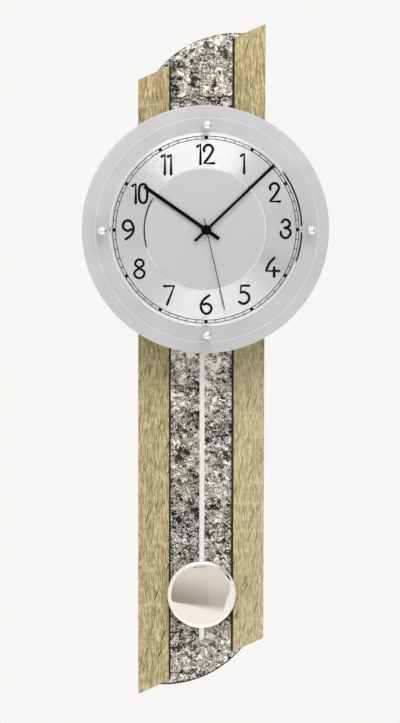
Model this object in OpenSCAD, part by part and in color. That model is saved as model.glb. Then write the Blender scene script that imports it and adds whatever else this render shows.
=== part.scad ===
// Wall clock with a radio-controlled quartz movement and a pendulum.
// Every piece is drawn as seen from the front: x to the right, y up, z out from the wall.
// stand() then turns the drawing so that the wall plane is y = 0 and the clock faces -y.
// The origin is the middle of the hanger's round hole, on the wall plane.

/* [Body] */
// Overall height of the wooden body, from its lowest corner to its highest
body_h = 680; // [650:1:720]
// Width of the body across both stiles
body_w = 128; // [124:1:140]
// How much higher the right side of each slanted end lies than the left side
end_rise = 56; // [40:1:64]
// Width of one wooden stile
stile_w = 31; // [29:1:34]
// Thickness of the stiles, from the wall to their front
stile_t = 22; // [21:1:26]
// Square part of each stile's outer side, measured from its front
side_square = 2; // [1:0.5:6]
// How far the rest of the outer side leans in towards the wall
side_lean = 1.8; // [0.5:0.1:3]

/* [Slate panel] */
// Width of the panel that each stile covers
slate_lap = 11; // [8:1:12]
// Thickness of the board behind the slate
board_t = 8; // [6:1:9]
// Thickness of the slate sheet
slate_t = 2; // [1.5:0.5:3]
// Depth of the slate's face behind the wood's front
reveal = 4; // [3:0.5:5]
// Height of the round bulge past each slanted end
bulge = 12; // [8:1:15]
// Width of the black strip beside each stile
strip_w = 2; // [1.5:0.5:3]
// Thickness of the black strips
strip_t = 2; // [1:0.5:2.5]

/* [Hanging] */
// Distance from the upper slanted end down to the hanger's hole, on the centre line
hanger_drop = 42; // [36:1:44]
// Height of each cross batten
batten_h = 32; // [30:1:36]
// Length that each end of a batten is let into its stile, past the panel
batten_let = 12; // [10:1:14]
// Distance from the lower slanted end up to the lower batten's middle
lower_batten_up = 60; // [50:1:80]
// Width of the hanger plate
hanger_w = 56; // [50:1:64]
// Height of the hanger plate
hanger_h = 26; // [26:1:28]
// Thickness of the hanger plate
hanger_t = 2; // [1.5:0.5:2.5]
// Diameter of the hanger's round hole, which the wall screw's head goes through
keyhole_d = 10; // [9:0.5:11]
// Width of the hanger's slot, which the wall screw's shank rides in
keyslot_w = 4.6; // [4:0.2:5]
// Rise of the slot above the round hole's middle
keyslot_up = 8; // [7:0.5:8.5]

/* [Dial] */
// Distance from the hanger's hole down to the hand shaft
dial_drop = 133.5; // [126:0.5:150]
// Diameter of the metal dial plate
dial_d = 246; // [230:1:260]
// Thickness of the dial plate
dial_t = 3; // [2:0.5:4]
// Air gap between the wood's front and the dial plate's back
dial_gap = 45; // [43:1:52]
// Diameter of the raised chapter disc
chapter_d = 192.6; // [186:0.6:198]
// Thickness of the chapter disc
chapter_t = 1.4; // [1.2:0.1:1.6]
// Diameter of the disc's sunk middle
recess_d = 122.2; // [110:0.2:130]
// Depth of the sunk middle
recess_depth = 0.8; // [0.5:0.1:0.9]
// Diameter of the spacer posts between body and dial plate
spacer_d = 10; // [9:0.5:12]
// Rise of the upper and drop of the lower spacers from the hand shaft
spacer_up = 55; // [46:1:60]

/* [Glass] */
// Diameter of the glass
glass_d = 222; // [218:1:226]
// Thickness of the glass
glass_t = 3; // [3:0.5:4]
// Air gap between dial plate and glass
glass_gap = 10; // [9.5:0.5:12]
// Diameter of the circle that the four glass fixings stand on
knob_pcd = 207.5; // [202:0.5:208]
// Diameter of the domed knobs
knob_d = 9.3; // [8:0.1:11]
// Height of the domed knobs
knob_h = 5.5; // [5:0.5:7]
// Diameter of the sleeves that hold the glass off the plate
sleeve_d = 7; // [6.5:0.5:8]
// Thickness of the clear washers under the knobs
washer_t = 0.5; // [0.4:0.1:0.8]

/* [Hands] */
// Length of the hour hand from the shaft to its tip
hour_len = 75; // [60:1:80]
// Length of the hour hand's tail
hour_tail = 15.8; // [12:0.2:20]
// Width of the hour hand
hour_w = 3.6; // [3:0.1:5]
// Length of the minute hand from the shaft to its tip
minute_len = 93; // [80:1:96]
// Length of the minute hand's tail
minute_tail = 16; // [12:0.5:20]
// Width of the minute hand
minute_w = 2.7; // [2:0.1:4]
// Length of the second hand from the shaft to its tip
second_len = 80.7; // [70:0.1:92]
// Length of the second hand's tail
second_tail = 11.8; // [9:0.1:20]
// Width of the second hand
second_w = 0.8; // [0.8:0.1:1.4]
// Thickness of the hands' sheet
hand_t = 0.5; // [0.3:0.1:0.6]
// Diameter of the hour hand's boss
hub_d = 10; // [9:0.5:12]
// Angle of the hour hand, clockwise from twelve
hour_angle = 304.9; // [0:0.1:360]
// Angle of the minute hand, clockwise from twelve
minute_angle = 46.5; // [0:0.1:360]
// Angle of the second hand, clockwise from twelve
second_angle = 167; // [0:0.1:360]

/* [Movement] */
// Width of the movement's case
case_w = 58; // [58:0.5:62]
// Height of the case above the hand shaft
case_up = 37.5; // [37.5:0.5:42]
// Height of the case below the hand shaft
case_down = 72; // [72:0.5:76]
// Depth of the case without its cover
case_d = 18; // [18:0.5:19]
// Wall of the case
case_wall = 1.6; // [1.4:0.1:1.8]
// Thickness of the rear cover
cover_t = 1.6; // [1.2:0.1:1.8]
// Corner radius of the case
case_r = 4; // [2:0.5:5]
// Thickness of the rubber washer between case and dial plate
seat_t = 1; // [0.8:0.1:1.2]
// Diameter of the bush that the hands' pipes run in
bush_d = 8; // [7.5:0.5:8.5]
// Diameter of the battery
cell_d = 14.5; // [14:0.1:14.5]
// Length of the battery with its nub
cell_len = 50.5; // [49:0.5:50.5]
// Height of the battery's axis above the hand shaft
cell_up = 26; // [26:0.1:26.4]
// Diameter of the receiver's ferrite rod
aerial_d = 8; // [7:0.5:8.5]
// Length of the ferrite rod
aerial_len = 50; // [40:1:52]
// Drop of the ferrite rod below the hand shaft
aerial_down = 44; // [42:0.5:45]
// Diameter of the push buttons
button_d = 4.1; // [3.5:0.1:5]
// Height that the push buttons stand proud of the cover
button_proud = 1.5; // [1.2:0.1:2]

/* [Gear train] */
// Tooth module of the wheels next to the hand shaft
wheel_module = 0.375; // [0.37:0.001:0.38]
// Tooth module of the rotors' pinions
rotor_module = 0.3125; // [0.3:0.0005:0.32]
// Tooth module of the first pair of the hour reduction
motion_module = 0.35; // [0.34:0.001:0.355]
// Thickness of the wheels
wheel_t = 1; // [0.8:0.1:1.1]
// Diameter of the second hand's arbor
arbor_d = 1; // [0.8:0.05:1]
// Diameter of the minute hand's pipe
minute_pipe_d = 3.28; // [3.2:0.02:3.3]
// Diameter of the hour hand's pipe
hour_pipe_d = 5.08; // [5:0.02:5.2]
// Running clearance between pipes, arbors and their bores, on the radius
running = 0.08; // [0.05:0.01:0.1]

/* [Pendulum] */
// Drop of the pendulum's pivot below the hand shaft
pivot_down = 30; // [28:0.5:31]
// Drop of the bob's middle below the hand shaft
bob_down = 373; // [340:1:400]
// Diameter of the bob
bob_d = 70; // [60:1:76]
// Radius of curvature of the bob's domed face
bob_face_r = 164; // [120:1:200]
// Radius of the bob's rounded edge
bob_edge_r = 6; // [4:0.5:8]
// Sheet thickness of the bob
bob_t = 1; // [0.8:0.1:1.2]
// Width of the pendulum rod
rod_w = 5; // [4.6:0.1:7]
// Thickness of the pendulum rod
rod_t = 1.2; // [1:0.1:1.6]
// Length of the rod below the bob's middle
rod_tail = 47; // [42:1:60]
// Clear gap between the wood's front and the bob's spring clip
swing_gap = 7.6; // [5:0.1:8]

/* [Hidden] */

$fn = 64;
overcut = 1;

// Body, measured from the hanger's hole
slope = end_rise / body_w;
end_angle = atan(slope);
mid_up = hanger_drop - (body_h - end_rise) / 2;
inner_x = body_w / 2 - stile_w;
panel_x = inner_x + slate_lap;
panel_play = 0.3;
slate_front = stile_t - reveal;
slate_back = slate_front - slate_t;
board_back = slate_back - board_t;
half_chord = panel_x / cos(end_angle);
bulge_r = (half_chord * half_chord + bulge * bulge) / (2 * bulge);

// Battens, hanger and wood screws
batten_x = panel_x + batten_let;
lower_batten_mid = mid_up - (body_h - end_rise) / 2 + lower_batten_up;
batten_screw_x = panel_x + batten_let / 2;
batten_screw_up = batten_h / 4;
wood_screw_d = 3.5;
wood_screw_head = 7;
wood_screw_head_h = 2;
wood_screw_skin = 4;
wood_screw_len = stile_t - wood_screw_skin;
hanger_screw_x = hanger_w / 2 - 7;
hanger_screw_d = 3;
hanger_screw_head = 5.6;
hanger_screw_head_h = 1.3;
hanger_screw_len = hanger_t + 5.4;
pocket_w = keyhole_d + 4;

// Dial, glass and their fixings
dial_back = stile_t + dial_gap;
dial_front = dial_back + dial_t;
chapter_front = dial_front + chapter_t;
recess_front = chapter_front - recess_depth;
bush_play = 0.3;
spacer_x = (panel_x + body_w / 2) / 2;
post_screw_d = 4;
post_screw_head = 8;
post_screw_head_h = min(2, dial_t - 0.4);
post_screw_grip = 12;
foot_sink = stile_t / 2 - 1;
foot_head_h = 2.4;
stud_d = 3;
stud_grip = 3.2;
nut_af = 5.5;
nut_h = 2.4;
glass_back = dial_front + glass_gap;
glass_front = glass_back + glass_t;
knob_back = glass_front + washer_t;
stud_back = dial_back - nut_h - 0.8;

// Movement, measured outwards from the wall
case_front = dial_back - seat_t;
case_back = case_front - case_d;
case_inside = case_front - case_wall;
cover_back = case_back - cover_t;
bush_front = recess_front + 1.8;
case_mid = (case_up - case_down) / 2;
inside_w = case_w - 2 * case_wall;
inside_top = case_up - case_wall;
inside_bottom = -case_down + case_wall;
lip_t = 1;
lip_h = 2;
lip_play = 0.15;
ear_w = 12;
ear_h = 9;
ear_t = 4;
ear_screw_d = 3;
ear_screw_head = 5.6;
ear_screw_head_h = min(1.6, dial_t - 0.3);
ear_screw_up = case_up + ear_h / 2;
ear_screw_down = -case_down - ear_h / 2;

// Hands on their pipes
hour_hand_at = bush_front + 0.6;
hand_step = 2;
minute_hand_at = hour_hand_at + hand_step;
second_hand_at = minute_hand_at + hand_step;
hub_t = 0.8;
cap_d = hub_d - 3;
cap_h = 1.4;

// Train: how far behind the case's front wall each level starts
hour_level = 0.6;
motion_level = hour_level + wheel_t + 0.6;
minute_level = motion_level + wheel_t + 0.6;
minute_idler_level = minute_level + wheel_t + 0.6;
seconds_level = minute_idler_level + wheel_t + 1;
seconds_idler_level = seconds_level + wheel_t + 0.6;
bridge_level = seconds_idler_level + wheel_t + 1.4;
bridge_t = 1.2;
wheel_teeth = 40;
leaf_teeth = 8;
rotor_wheel_teeth = 48;
cannon_teeth = 12;
motion_teeth = 36;
motion_leaf_teeth = 10;
hour_teeth = 40;
idler_gap = wheel_module * (wheel_teeth + leaf_teeth) / 2;
rotor_gap = rotor_module * (rotor_wheel_teeth + leaf_teeth) / 2;
motion_gap = motion_module * (cannon_teeth + motion_teeth) / 2;
hour_module = 2 * motion_gap / (motion_leaf_teeth + hour_teeth);
train_dip = 30;
idler_x = idler_gap * cos(train_dip);
idler_y = -idler_gap * sin(train_dip);
rotor_x = idler_x + rotor_gap * cos(train_dip);
rotor_y = idler_y - rotor_gap * sin(train_dip);
idler_arbor = 1.2;
rotor_arbor = 0.8;
rotor_magnet_d = 6.4;
rotor_magnet_t = 2.4;
motion_post = 1.6;
pillar_d = 3.6;
pillar_x = inside_w / 2 - 2.4;
pillar_top = 12.2;
pillar_low = -12;
peg_d = 1.6;

// Stators and their coils, beside the train
stator_t = 0.8;
stator_w = 11.5;
stator_limb = 3;
stator_h = 30;
stator_coil_d = 7;
stator_coil_len = 12;
stator_bore = rotor_magnet_d + 1.2;
seconds_stator_level = seconds_level - 1.2;
minute_stator_level = seconds_level + 1;

// Battery bay, receiver and board
cell_out = case_inside - 0.4 - cell_d / 2;
cell_nub_d = 5.5;
cell_nub_len = 1.3;
bay_floor = cell_up - cell_d / 2 - 0.5;
bay_rib = 1.2;
cradle_x = 15;
cradle_t = 1.5;
contact_t = 0.4;
contact_gap = 0.35;
window_play = 0.6;
aerial_level = 10;
aerial_coil_d = 10.4;
aerial_coil_len = 24;
aerial_rib_x = aerial_len / 2 - 4;
board_level = 2;
pcb_t = 1;
pcb_w = 50;
pcb_h = 18;
pcb_post_x = 12;
pcb_post_d = 4;
coil_down = 60;
pcb_down = coil_down;
drive_coil_d = 17;
drive_coil_len = 7;
drive_coil_level = 9;
coil_post_d = 6;
coil_spigot_d = 5;
button_x = 19;
button_flange = button_d + 1.4;
button_flange_t = 0.8;
button_rest_gap = 0.25;
button_travel = 0.8;
switch_h = 1.5;

// Pendulum, measured from the hand shaft and outwards from the wall
clip_t = 0.6;
clip_back = stile_t + swing_gap - clip_t;
rod_back = clip_back + clip_t;
rod_front = rod_back + rod_t;
pin_d = 2.4;
lever_front = cover_back - 1.4;
lever_boss_d = 8;
lever_boss_back = rod_front + 4.4;
lever_arm_t = 3;
lever_arm_w = 8;
lever_end_d = 12;
magnet_d = 9;
magnet_t = 2.2;
hook_drop = 12;
hook_down = pivot_down + hook_drop;
hook_d = 3;
eye_d = 3.2;
rod_top = hook_down - 5;
rod_low = -bob_down - rod_tail;
rod_taper = 5;
bob_back = rod_front;
bob_edge_turn = 60;
bob_edge_x = bob_d / 2 - bob_edge_r * sin(bob_edge_turn);
bob_edge_out = -bob_edge_r * cos(bob_edge_turn);
bob_offset = bob_face_r - bob_edge_r;
bob_face_out = bob_edge_out - sqrt(bob_offset * bob_offset - bob_edge_x * bob_edge_x);
clip_inset = 0.4;
clip_len = bob_d - 2 * clip_inset;
clip_w = 12;

// Height of the slanted end at x, on the upper end (side 1) or the lower end (side -1)
function end_up(x, side) = mid_up + side * (body_h - end_rise) / 2 + x * slope;

function polar(r, a) = [r * cos(a), r * sin(a)];

// Outline of a gear with one tooth centred on angle at
function gear_outline(teeth, module_size, at) =
    let (
        pitch = 360 / teeth,
        r = teeth * module_size / 2,
        tip = r + 0.9 * module_size,
        root = r - 1.15 * module_size
    )
    [
        for (i = [0 : teeth - 1])
            each [
                polar(root, at + (i - 0.30) * pitch),
                polar(tip, at + (i - 0.10) * pitch),
                polar(tip, at + (i + 0.10) * pitch),
                polar(root, at + (i + 0.30) * pitch)
            ]
    ];

module stand() {
    rotate([90, 0, 0])
        children();
}

module out(distance) {
    translate([0, 0, distance])
        children();
}

module at_shaft() {
    translate([0, -dial_drop, 0])
        children();
}

module ring(outer_d, inner_d, h) {
    difference() {
        cylinder(d = outer_d, h = h);
        translate([0, 0, -overcut])
            cylinder(d = inner_d, h = h + 2 * overcut);
    }
}

module rounded(w, h, r) {
    square([w - 2 * r, h], center = true);
    square([w, h - 2 * r], center = true);
    for (sx = [-1, 1], sy = [-1, 1])
        translate([sx * (w / 2 - r), sy * (h / 2 - r)])
            circle(r = r);
}

// Countersunk screw, head on z = 0 and point along +z
module countersunk(d, len, head_d, head_h) {
    rotate_extrude()
        polygon([
            [0, 0], [head_d / 2, 0], [d / 2, head_h], [d / 2, len - d / 2], [0, len]
        ]);
}

// Hole for a countersunk screw, cut from z = 0 along +z
module countersunk_hole(d, len, head_d, head_h) {
    rotate_extrude()
        polygon([
            [0, -overcut], [head_d / 2, -overcut], [head_d / 2, 0],
            [d / 2, head_h], [d / 2, len], [0, len]
        ]);
}

// Body

module slanted_band(x0, x1) {
    polygon([
        [x0, end_up(x0, -1)], [x1, end_up(x1, -1)],
        [x1, end_up(x1, 1)], [x0, end_up(x0, 1)]
    ]);
}

module at_battens() {
    for (up = [0, lower_batten_mid])
        translate([0, up, 0])
            children();
}

module at_spacers() {
    at_shaft()
        for (sx = [-1, 1], sy = [-1, 1])
            translate([sx * spacer_x, sy * spacer_up, 0])
                children();
}

module at_batten_screws() {
    at_battens()
        for (sx = [-1, 1], sy = [-1, 1])
            translate([sx * batten_screw_x, sy * batten_screw_up, 0])
                children();
}

// Wedge that is planed off a stile's outer side
module side_wedge(side) {
    edge_x = body_w / 2;
    square_end = stile_t - side_square;
    foot_x = edge_x - side_lean * (1 + overcut / square_end);
    translate([0, mid_up + body_h, 0])
        rotate([90, 0, 0])
            linear_extrude(2 * body_h)
                polygon([
                    [side * edge_x, square_end], [side * (edge_x + overcut), square_end],
                    [side * (edge_x + overcut), -overcut], [side * foot_x, -overcut]
                ]);
}

module stile(side) {
    stand()
        difference() {
            linear_extrude(stile_t)
                slanted_band(side * inner_x, side * body_w / 2);
            side_wedge(side);
            translate([side * (panel_x + panel_play) / 2, mid_up, slate_front / 2 - overcut])
                cube([panel_x + panel_play, body_h + 2 * overcut, slate_front + 2 * overcut], center = true);
            at_battens()
                cube([2 * (batten_x + panel_play), batten_h + 2 * panel_play, 2 * board_back], center = true);
            at_batten_screws()
                cylinder(d = wood_screw_d, h = wood_screw_len + 1);
            at_spacers() {
                translate([0, 0, -overcut])
                    cylinder(d = post_screw_head + 1, h = foot_sink + overcut);
                cylinder(d = post_screw_d, h = stile_t + overcut);
            }
        }
}

module left_stile() {
    color("#b8a67c")
        stile(-1);
}

module right_stile() {
    color("#b8a67c")
        stile(1);
}

module shadow_strip(side) {
    stand()
        out(slate_front)
            linear_extrude(strip_t)
                slanted_band(side * (inner_x - strip_w), side * inner_x);
}

module left_shadow_strip() {
    color("#1c1712")
        shadow_strip(-1);
}

module right_shadow_strip() {
    color("#1c1712")
        shadow_strip(1);
}

// Round bulge past a slanted end, drawn from its chord
module bulge_outline(side) {
    translate([0, end_up(0, side)])
        rotate(end_angle)
            intersection() {
                translate([0, side * (bulge - bulge_r)])
                    circle(r = bulge_r, $fn = 180);
                translate([-half_chord, side > 0 ? -bulge : -2 * bulge])
                    square([2 * half_chord, 3 * bulge]);
            }
}

module panel_outline() {
    intersection() {
        union() {
            slanted_band(-panel_x, panel_x);
            bulge_outline(1);
            bulge_outline(-1);
        }
        translate([-panel_x, mid_up - body_h])
            square([2 * panel_x, 2 * body_h]);
    }
}

module slate_board() {
    color("#7c5f43")
        stand()
            out(board_back)
                linear_extrude(board_t)
                    panel_outline();
}

module slate_sheet() {
    color("#8e8b86")
        stand()
            out(slate_back)
                linear_extrude(slate_t)
                    panel_outline();
}

module batten() {
    translate([-batten_x, -batten_h / 2, 0])
        cube([2 * batten_x, batten_h, board_back]);
}

module batten_screw_holes() {
    for (sx = [-1, 1], sy = [-1, 1])
        translate([sx * batten_screw_x, sy * batten_screw_up, 0])
            countersunk_hole(wood_screw_d, board_back + overcut, wood_screw_head, wood_screw_head_h);
}

module upper_batten() {
    color("#8a6c4c")
        stand()
            difference() {
                batten();
                batten_screw_holes();
                translate([0, 0, -overcut])
                    linear_extrude(hanger_t + overcut)
                        rounded(hanger_w + panel_play, hanger_h + panel_play, 3);
                translate([-pocket_w / 2, -keyhole_d / 2 - 2, -overcut])
                    cube([pocket_w, hanger_h / 2 + keyhole_d / 2 + 1, board_back + 2 * overcut]);
                for (sx = [-1, 1])
                    translate([sx * hanger_screw_x, 0, hanger_t])
                        cylinder(d = hanger_screw_d, h = board_back);
            }
}

module lower_batten() {
    color("#8a6c4c")
        stand()
            translate([0, lower_batten_mid, 0])
                difference() {
                    batten();
                    batten_screw_holes();
                }
}

module batten_screws() {
    color("#c9b26a")
        stand()
            at_batten_screws()
                countersunk(wood_screw_d, wood_screw_len, wood_screw_head, wood_screw_head_h);
}

module hanger_plate() {
    color("#b9bcc0")
        stand()
            difference() {
                linear_extrude(hanger_t)
                    difference() {
                        rounded(hanger_w, hanger_h, 3);
                        circle(d = keyhole_d);
                        translate([-keyslot_w / 2, 0])
                            square([keyslot_w, keyslot_up]);
                        translate([0, keyslot_up])
                            circle(d = keyslot_w);
                    }
                for (sx = [-1, 1])
                    translate([sx * hanger_screw_x, 0, 0])
                        countersunk_hole(hanger_screw_d, hanger_t + overcut, hanger_screw_head, hanger_screw_head_h);
            }
}

module hanger_screws() {
    color("#d0d2d4")
        stand()
            for (sx = [-1, 1])
                translate([sx * hanger_screw_x, 0, 0])
                    countersunk(hanger_screw_d, hanger_screw_len, hanger_screw_head, hanger_screw_head_h);
}

// Dial plate on its four posts

module dial_spacers() {
    color("#c4c6c8")
        stand()
            at_spacers()
                out(stile_t)
                    difference() {
                        cylinder(d = spacer_d, h = dial_gap);
                        translate([0, 0, -overcut])
                            cylinder(d = post_screw_d, h = post_screw_grip + 1 + overcut);
                        translate([0, 0, dial_gap - post_screw_grip - 1])
                            cylinder(d = post_screw_d, h = post_screw_grip + 1 + overcut);
                    }
}

module spacer_foot_screws() {
    color("#d0d2d4")
        stand()
            at_spacers()
                out(foot_sink)
                    union() {
                        translate([0, 0, -foot_head_h])
                            cylinder(d = post_screw_head, h = foot_head_h);
                        cylinder(d = post_screw_d, h = stile_t - foot_sink + post_screw_grip);
                    }
}

module dial_screws() {
    color("#d0d2d4")
        stand()
            at_spacers()
                out(dial_front)
                    mirror([0, 0, 1])
                        countersunk(post_screw_d, dial_t + post_screw_grip, post_screw_head, post_screw_head_h);
}

module at_knobs() {
    at_shaft()
        for (a = [0 : 90 : 270])
            rotate(a)
                translate([knob_pcd / 2, 0, 0])
                    children();
}

module at_ears() {
    at_shaft()
        for (up = [ear_screw_up, ear_screw_down])
            translate([0, up, 0])
                children();
}

// Round plate with a rounded rim
module rimmed_plate(d, t, edge) {
    rotate_extrude() {
        square([d / 2 - edge, t]);
        translate([0, edge])
            square([d / 2, t - 2 * edge]);
        for (z = [edge, t - edge])
            translate([d / 2 - edge, z])
                circle(r = edge);
    }
}

module dial_plate() {
    color("#cfd0d0")
        stand()
            difference() {
                at_shaft()
                    out(dial_back)
                        rimmed_plate(dial_d, dial_t, 0.8, $fn = 128);
                at_shaft()
                    out(dial_back - overcut)
                        cylinder(d = bush_d + 2 * bush_play, h = dial_t + 2 * overcut);
                at_spacers()
                    out(dial_front)
                        mirror([0, 0, 1])
                            countersunk_hole(post_screw_d, dial_t + overcut, post_screw_head, post_screw_head_h);
                at_ears()
                    out(dial_front)
                        mirror([0, 0, 1])
                            countersunk_hole(ear_screw_d, dial_t + overcut, ear_screw_head, ear_screw_head_h);
                at_knobs()
                    out(dial_back - overcut)
                        cylinder(d = stud_d, h = dial_t + 2 * overcut);
            }
}

// Pressed disc: a bevelled rim, a raised band and a sunk middle
module chapter_disc() {
    color("#d6d6d5")
        stand()
            at_shaft()
                out(dial_front)
                    rotate_extrude($fn = 128)
                        polygon([
                            [bush_d / 2 + bush_play, 0],
                            [chapter_d / 2, 0],
                            [chapter_d / 2, chapter_t / 3],
                            [chapter_d / 2 - 1.4, chapter_t],
                            [recess_d / 2, chapter_t],
                            [recess_d / 2 - recess_depth, chapter_t - recess_depth],
                            [bush_d / 2 + bush_play, chapter_t - recess_depth]
                        ]);
}

// Glass on four sleeves, each with a stud, a nut, a clear washer and a domed knob

module glass_disc() {
    color("#dfe9ea", 0.3)
        stand()
            difference() {
                at_shaft()
                    out(glass_back)
                        rotate_extrude($fn = 128)
                            polygon([
                                [0, 0], [glass_d / 2 - 0.5, 0], [glass_d / 2, 0.5],
                                [glass_d / 2, glass_t - 0.5], [glass_d / 2 - 0.5, glass_t], [0, glass_t]
                            ]);
                at_knobs()
                    out(glass_back - overcut)
                        cylinder(d = stud_d, h = glass_t + 2 * overcut);
            }
}

module glass_sleeves() {
    color("#c9cccd")
        stand()
            at_knobs()
                out(dial_front)
                    ring(sleeve_d, stud_d, glass_gap);
}

module glass_studs() {
    color("#a9abad")
        stand()
            at_knobs()
                out(stud_back)
                    cylinder(d = stud_d, h = knob_back + stud_grip - stud_back);
}

module glass_nuts() {
    color("#c4c6c8")
        stand()
            at_knobs()
                out(dial_back - nut_h)
                    difference() {
                        cylinder(d = nut_af / cos(30), h = nut_h, $fn = 6);
                        translate([0, 0, -overcut])
                            cylinder(d = stud_d, h = nut_h + 2 * overcut);
                    }
}

module glass_washers() {
    color("#e8eeee", 0.5)
        stand()
            at_knobs()
                out(glass_front)
                    ring(knob_d - 0.8, stud_d, washer_t);
}

module glass_knobs() {
    dome_h = knob_h - 1.2;
    dome_r = (knob_d * knob_d / 4 + dome_h * dome_h) / (2 * dome_h);
    color("#e6e7e8")
        stand()
            at_knobs()
                out(knob_back)
                    rotate_extrude()
                        difference() {
                            union() {
                                square([knob_d / 2, 1.2]);
                                intersection() {
                                    translate([0, knob_h - dome_r])
                                        circle(r = dome_r);
                                    translate([0, 1.2])
                                        square([knob_d / 2, dome_h]);
                                }
                            }
                            translate([0, -overcut])
                                square([stud_d / 2, stud_grip + 0.2 + overcut]);
                        }
}

// Movement case and what it holds. level() counts depth from the inside of the case's front wall.

module level(depth) {
    at_shaft()
        out(case_inside - depth)
            children();
}

// A disc or bar that starts at one level and reaches t further from the front wall
module deep(depth, t) {
    level(depth + t)
        linear_extrude(t)
            children();
}

module at_pillars() {
    for (sx = [-1, 1], up = [pillar_top, pillar_low])
        translate([sx * pillar_x, up])
            children();
}

module case_outline(inset) {
    translate([0, case_mid])
        rounded(case_w - 2 * inset, case_up + case_down - 2 * inset, max(case_r - inset, 0.5));
}

module cradle(x, t, reach) {
    at_shaft()
        translate([x - t / 2, bay_floor, case_inside - reach])
            cube([t, 2 * (cell_up - bay_floor), reach]);
}

module movement_case() {
    color("#2b2c2e")
        stand()
            difference() {
                union() {
                    difference() {
                        at_shaft()
                            out(case_back)
                                linear_extrude(case_d)
                                    case_outline(0);
                        at_shaft()
                            out(case_back - overcut)
                                linear_extrude(case_d - case_wall + overcut)
                                    case_outline(case_wall);
                    }
                    at_shaft()
                        out(case_inside)
                            cylinder(d = bush_d, h = bush_front - case_inside);
                    at_shaft()
                        for (up = [case_up + ear_h / 2 - 1, -case_down - ear_h / 2 + 1])
                            translate([0, up, dial_back - ear_t])
                                linear_extrude(ear_t)
                                    rounded(ear_w, ear_h + 2, 2);
                    deep(0, bridge_level)
                        at_pillars()
                            circle(d = pillar_d);
                    deep(0, bridge_level + bridge_t + 0.6)
                        at_pillars()
                            circle(d = peg_d);
                    deep(0, motion_level + wheel_t + 0.3)
                        translate([0, motion_gap])
                            circle(d = motion_post);
                    deep(0, minute_level - 0.4)
                        translate([idler_x, idler_y])
                            circle(d = idler_arbor + 1.8);
                    deep(0, seconds_level - 0.4)
                        translate([-idler_x, idler_y])
                            circle(d = idler_arbor + 0.9);
                    deep(0, minute_idler_level - 0.5)
                        translate([rotor_x, rotor_y])
                            circle(d = rotor_arbor + 1.8);
                    deep(0, seconds_stator_level - 1.2)
                        translate([-rotor_x, rotor_y])
                            circle(d = rotor_arbor + 1.8);
                    for (sx = [-1, 1])
                        deep(0, aerial_level)
                            translate([sx * aerial_rib_x, -aerial_down])
                                square([2, aerial_d + 2], center = true);
                    deep(0, drive_coil_level)
                        translate([0, -coil_down])
                            circle(d = coil_post_d);
                    deep(0, drive_coil_level + drive_coil_len - 1)
                        translate([0, -coil_down])
                            circle(d = coil_spigot_d);
                    for (sx = [-1, 1])
                        deep(0, board_level)
                            translate([sx * pcb_post_x, -pcb_down])
                                circle(d = pcb_post_d);
                    for (side = [-1, 1])
                        stator_posts(side);
                    deep(0, case_d - case_wall - lip_h - 0.4)
                        translate([0, bay_floor - bay_rib / 2])
                            square([inside_w, bay_rib], center = true);
                    for (sx = [-1, 1])
                        cradle(sx * cradle_x, cradle_t, cell_d / 3);
                }
                at_shaft()
                    out(case_inside - overcut)
                        cylinder(d = hour_pipe_d + 2 * running, h = bush_front - case_inside + 2 * overcut);
                at_ears()
                    out(dial_back - ear_t - overcut)
                        cylinder(d = ear_screw_d, h = ear_t + 2 * overcut);
                deep(-1, bridge_level)
                    for (sx = [-1, 1])
                        translate([sx * idler_x, idler_y])
                            circle(d = idler_arbor + 2 * running);
                deep(-1, bridge_level)
                    for (sx = [-1, 1])
                        translate([sx * rotor_x, rotor_y])
                            circle(d = rotor_arbor + 2 * running);
                translate([-cell_len / 2, cell_up - dial_drop, cell_out])
                    rotate([0, 90, 0])
                        cylinder(d = cell_d + 2 * contact_gap, h = cell_len);
                translate([-aerial_len / 2, -aerial_down - dial_drop, case_inside - aerial_level])
                    rotate([0, 90, 0])
                        cylinder(d = aerial_d, h = aerial_len);
            }
}

// Posts that a stator's lower bar rests on
module stator_posts(side) {
    deep(0, side > 0 ? minute_stator_level : seconds_stator_level)
        translate([side * (rotor_x - stator_w / 2 + stator_limb / 2), stator_low() + stator_limb / 2])
            circle(d = 2.4);
}

function stator_top() = rotor_y + stator_w / 2;
function stator_low() = stator_top() - stator_h;

module movement_cover() {
    color("#2b2c2e")
        stand()
            difference() {
                union() {
                    at_shaft()
                        out(cover_back)
                            linear_extrude(cover_t)
                                case_outline(0);
                    at_shaft()
                        out(case_back)
                            linear_extrude(lip_h)
                                difference() {
                                    case_outline(case_wall + lip_play);
                                    case_outline(case_wall + lip_play + lip_t);
                                }
                    translate([0, -dial_drop - pivot_down, cover_back])
                        cylinder(d = pin_d + 4, h = cover_t + 2.4);
                }
                translate([0, cell_up - dial_drop, cover_back - overcut])
                    linear_extrude(cover_t + 2 * overcut)
                        rounded(cell_len + 2 * window_play, cell_d + 2 * window_play, 1);
                translate([0, -dial_drop - pivot_down, cover_back - overcut])
                    cylinder(d = pin_d, h = cover_t + 3.4 + overcut);
                for (sx = [-1, 1])
                    translate([sx * button_x, -dial_drop - coil_down, cover_back - overcut])
                        cylinder(d = button_d + 2 * running, h = cover_t + 2 * overcut);
            }
}

module movement_screws() {
    color("#d0d2d4")
        stand()
            at_ears()
                out(dial_front)
                    mirror([0, 0, 1])
                        countersunk(ear_screw_d, dial_t + ear_t - 0.4, ear_screw_head, ear_screw_head_h);
}

module rubber_washer() {
    color("#202020")
        stand()
            at_shaft()
                out(case_front)
                    ring(bush_d + 10, bush_d + 2 * bush_play, seat_t);
}

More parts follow.
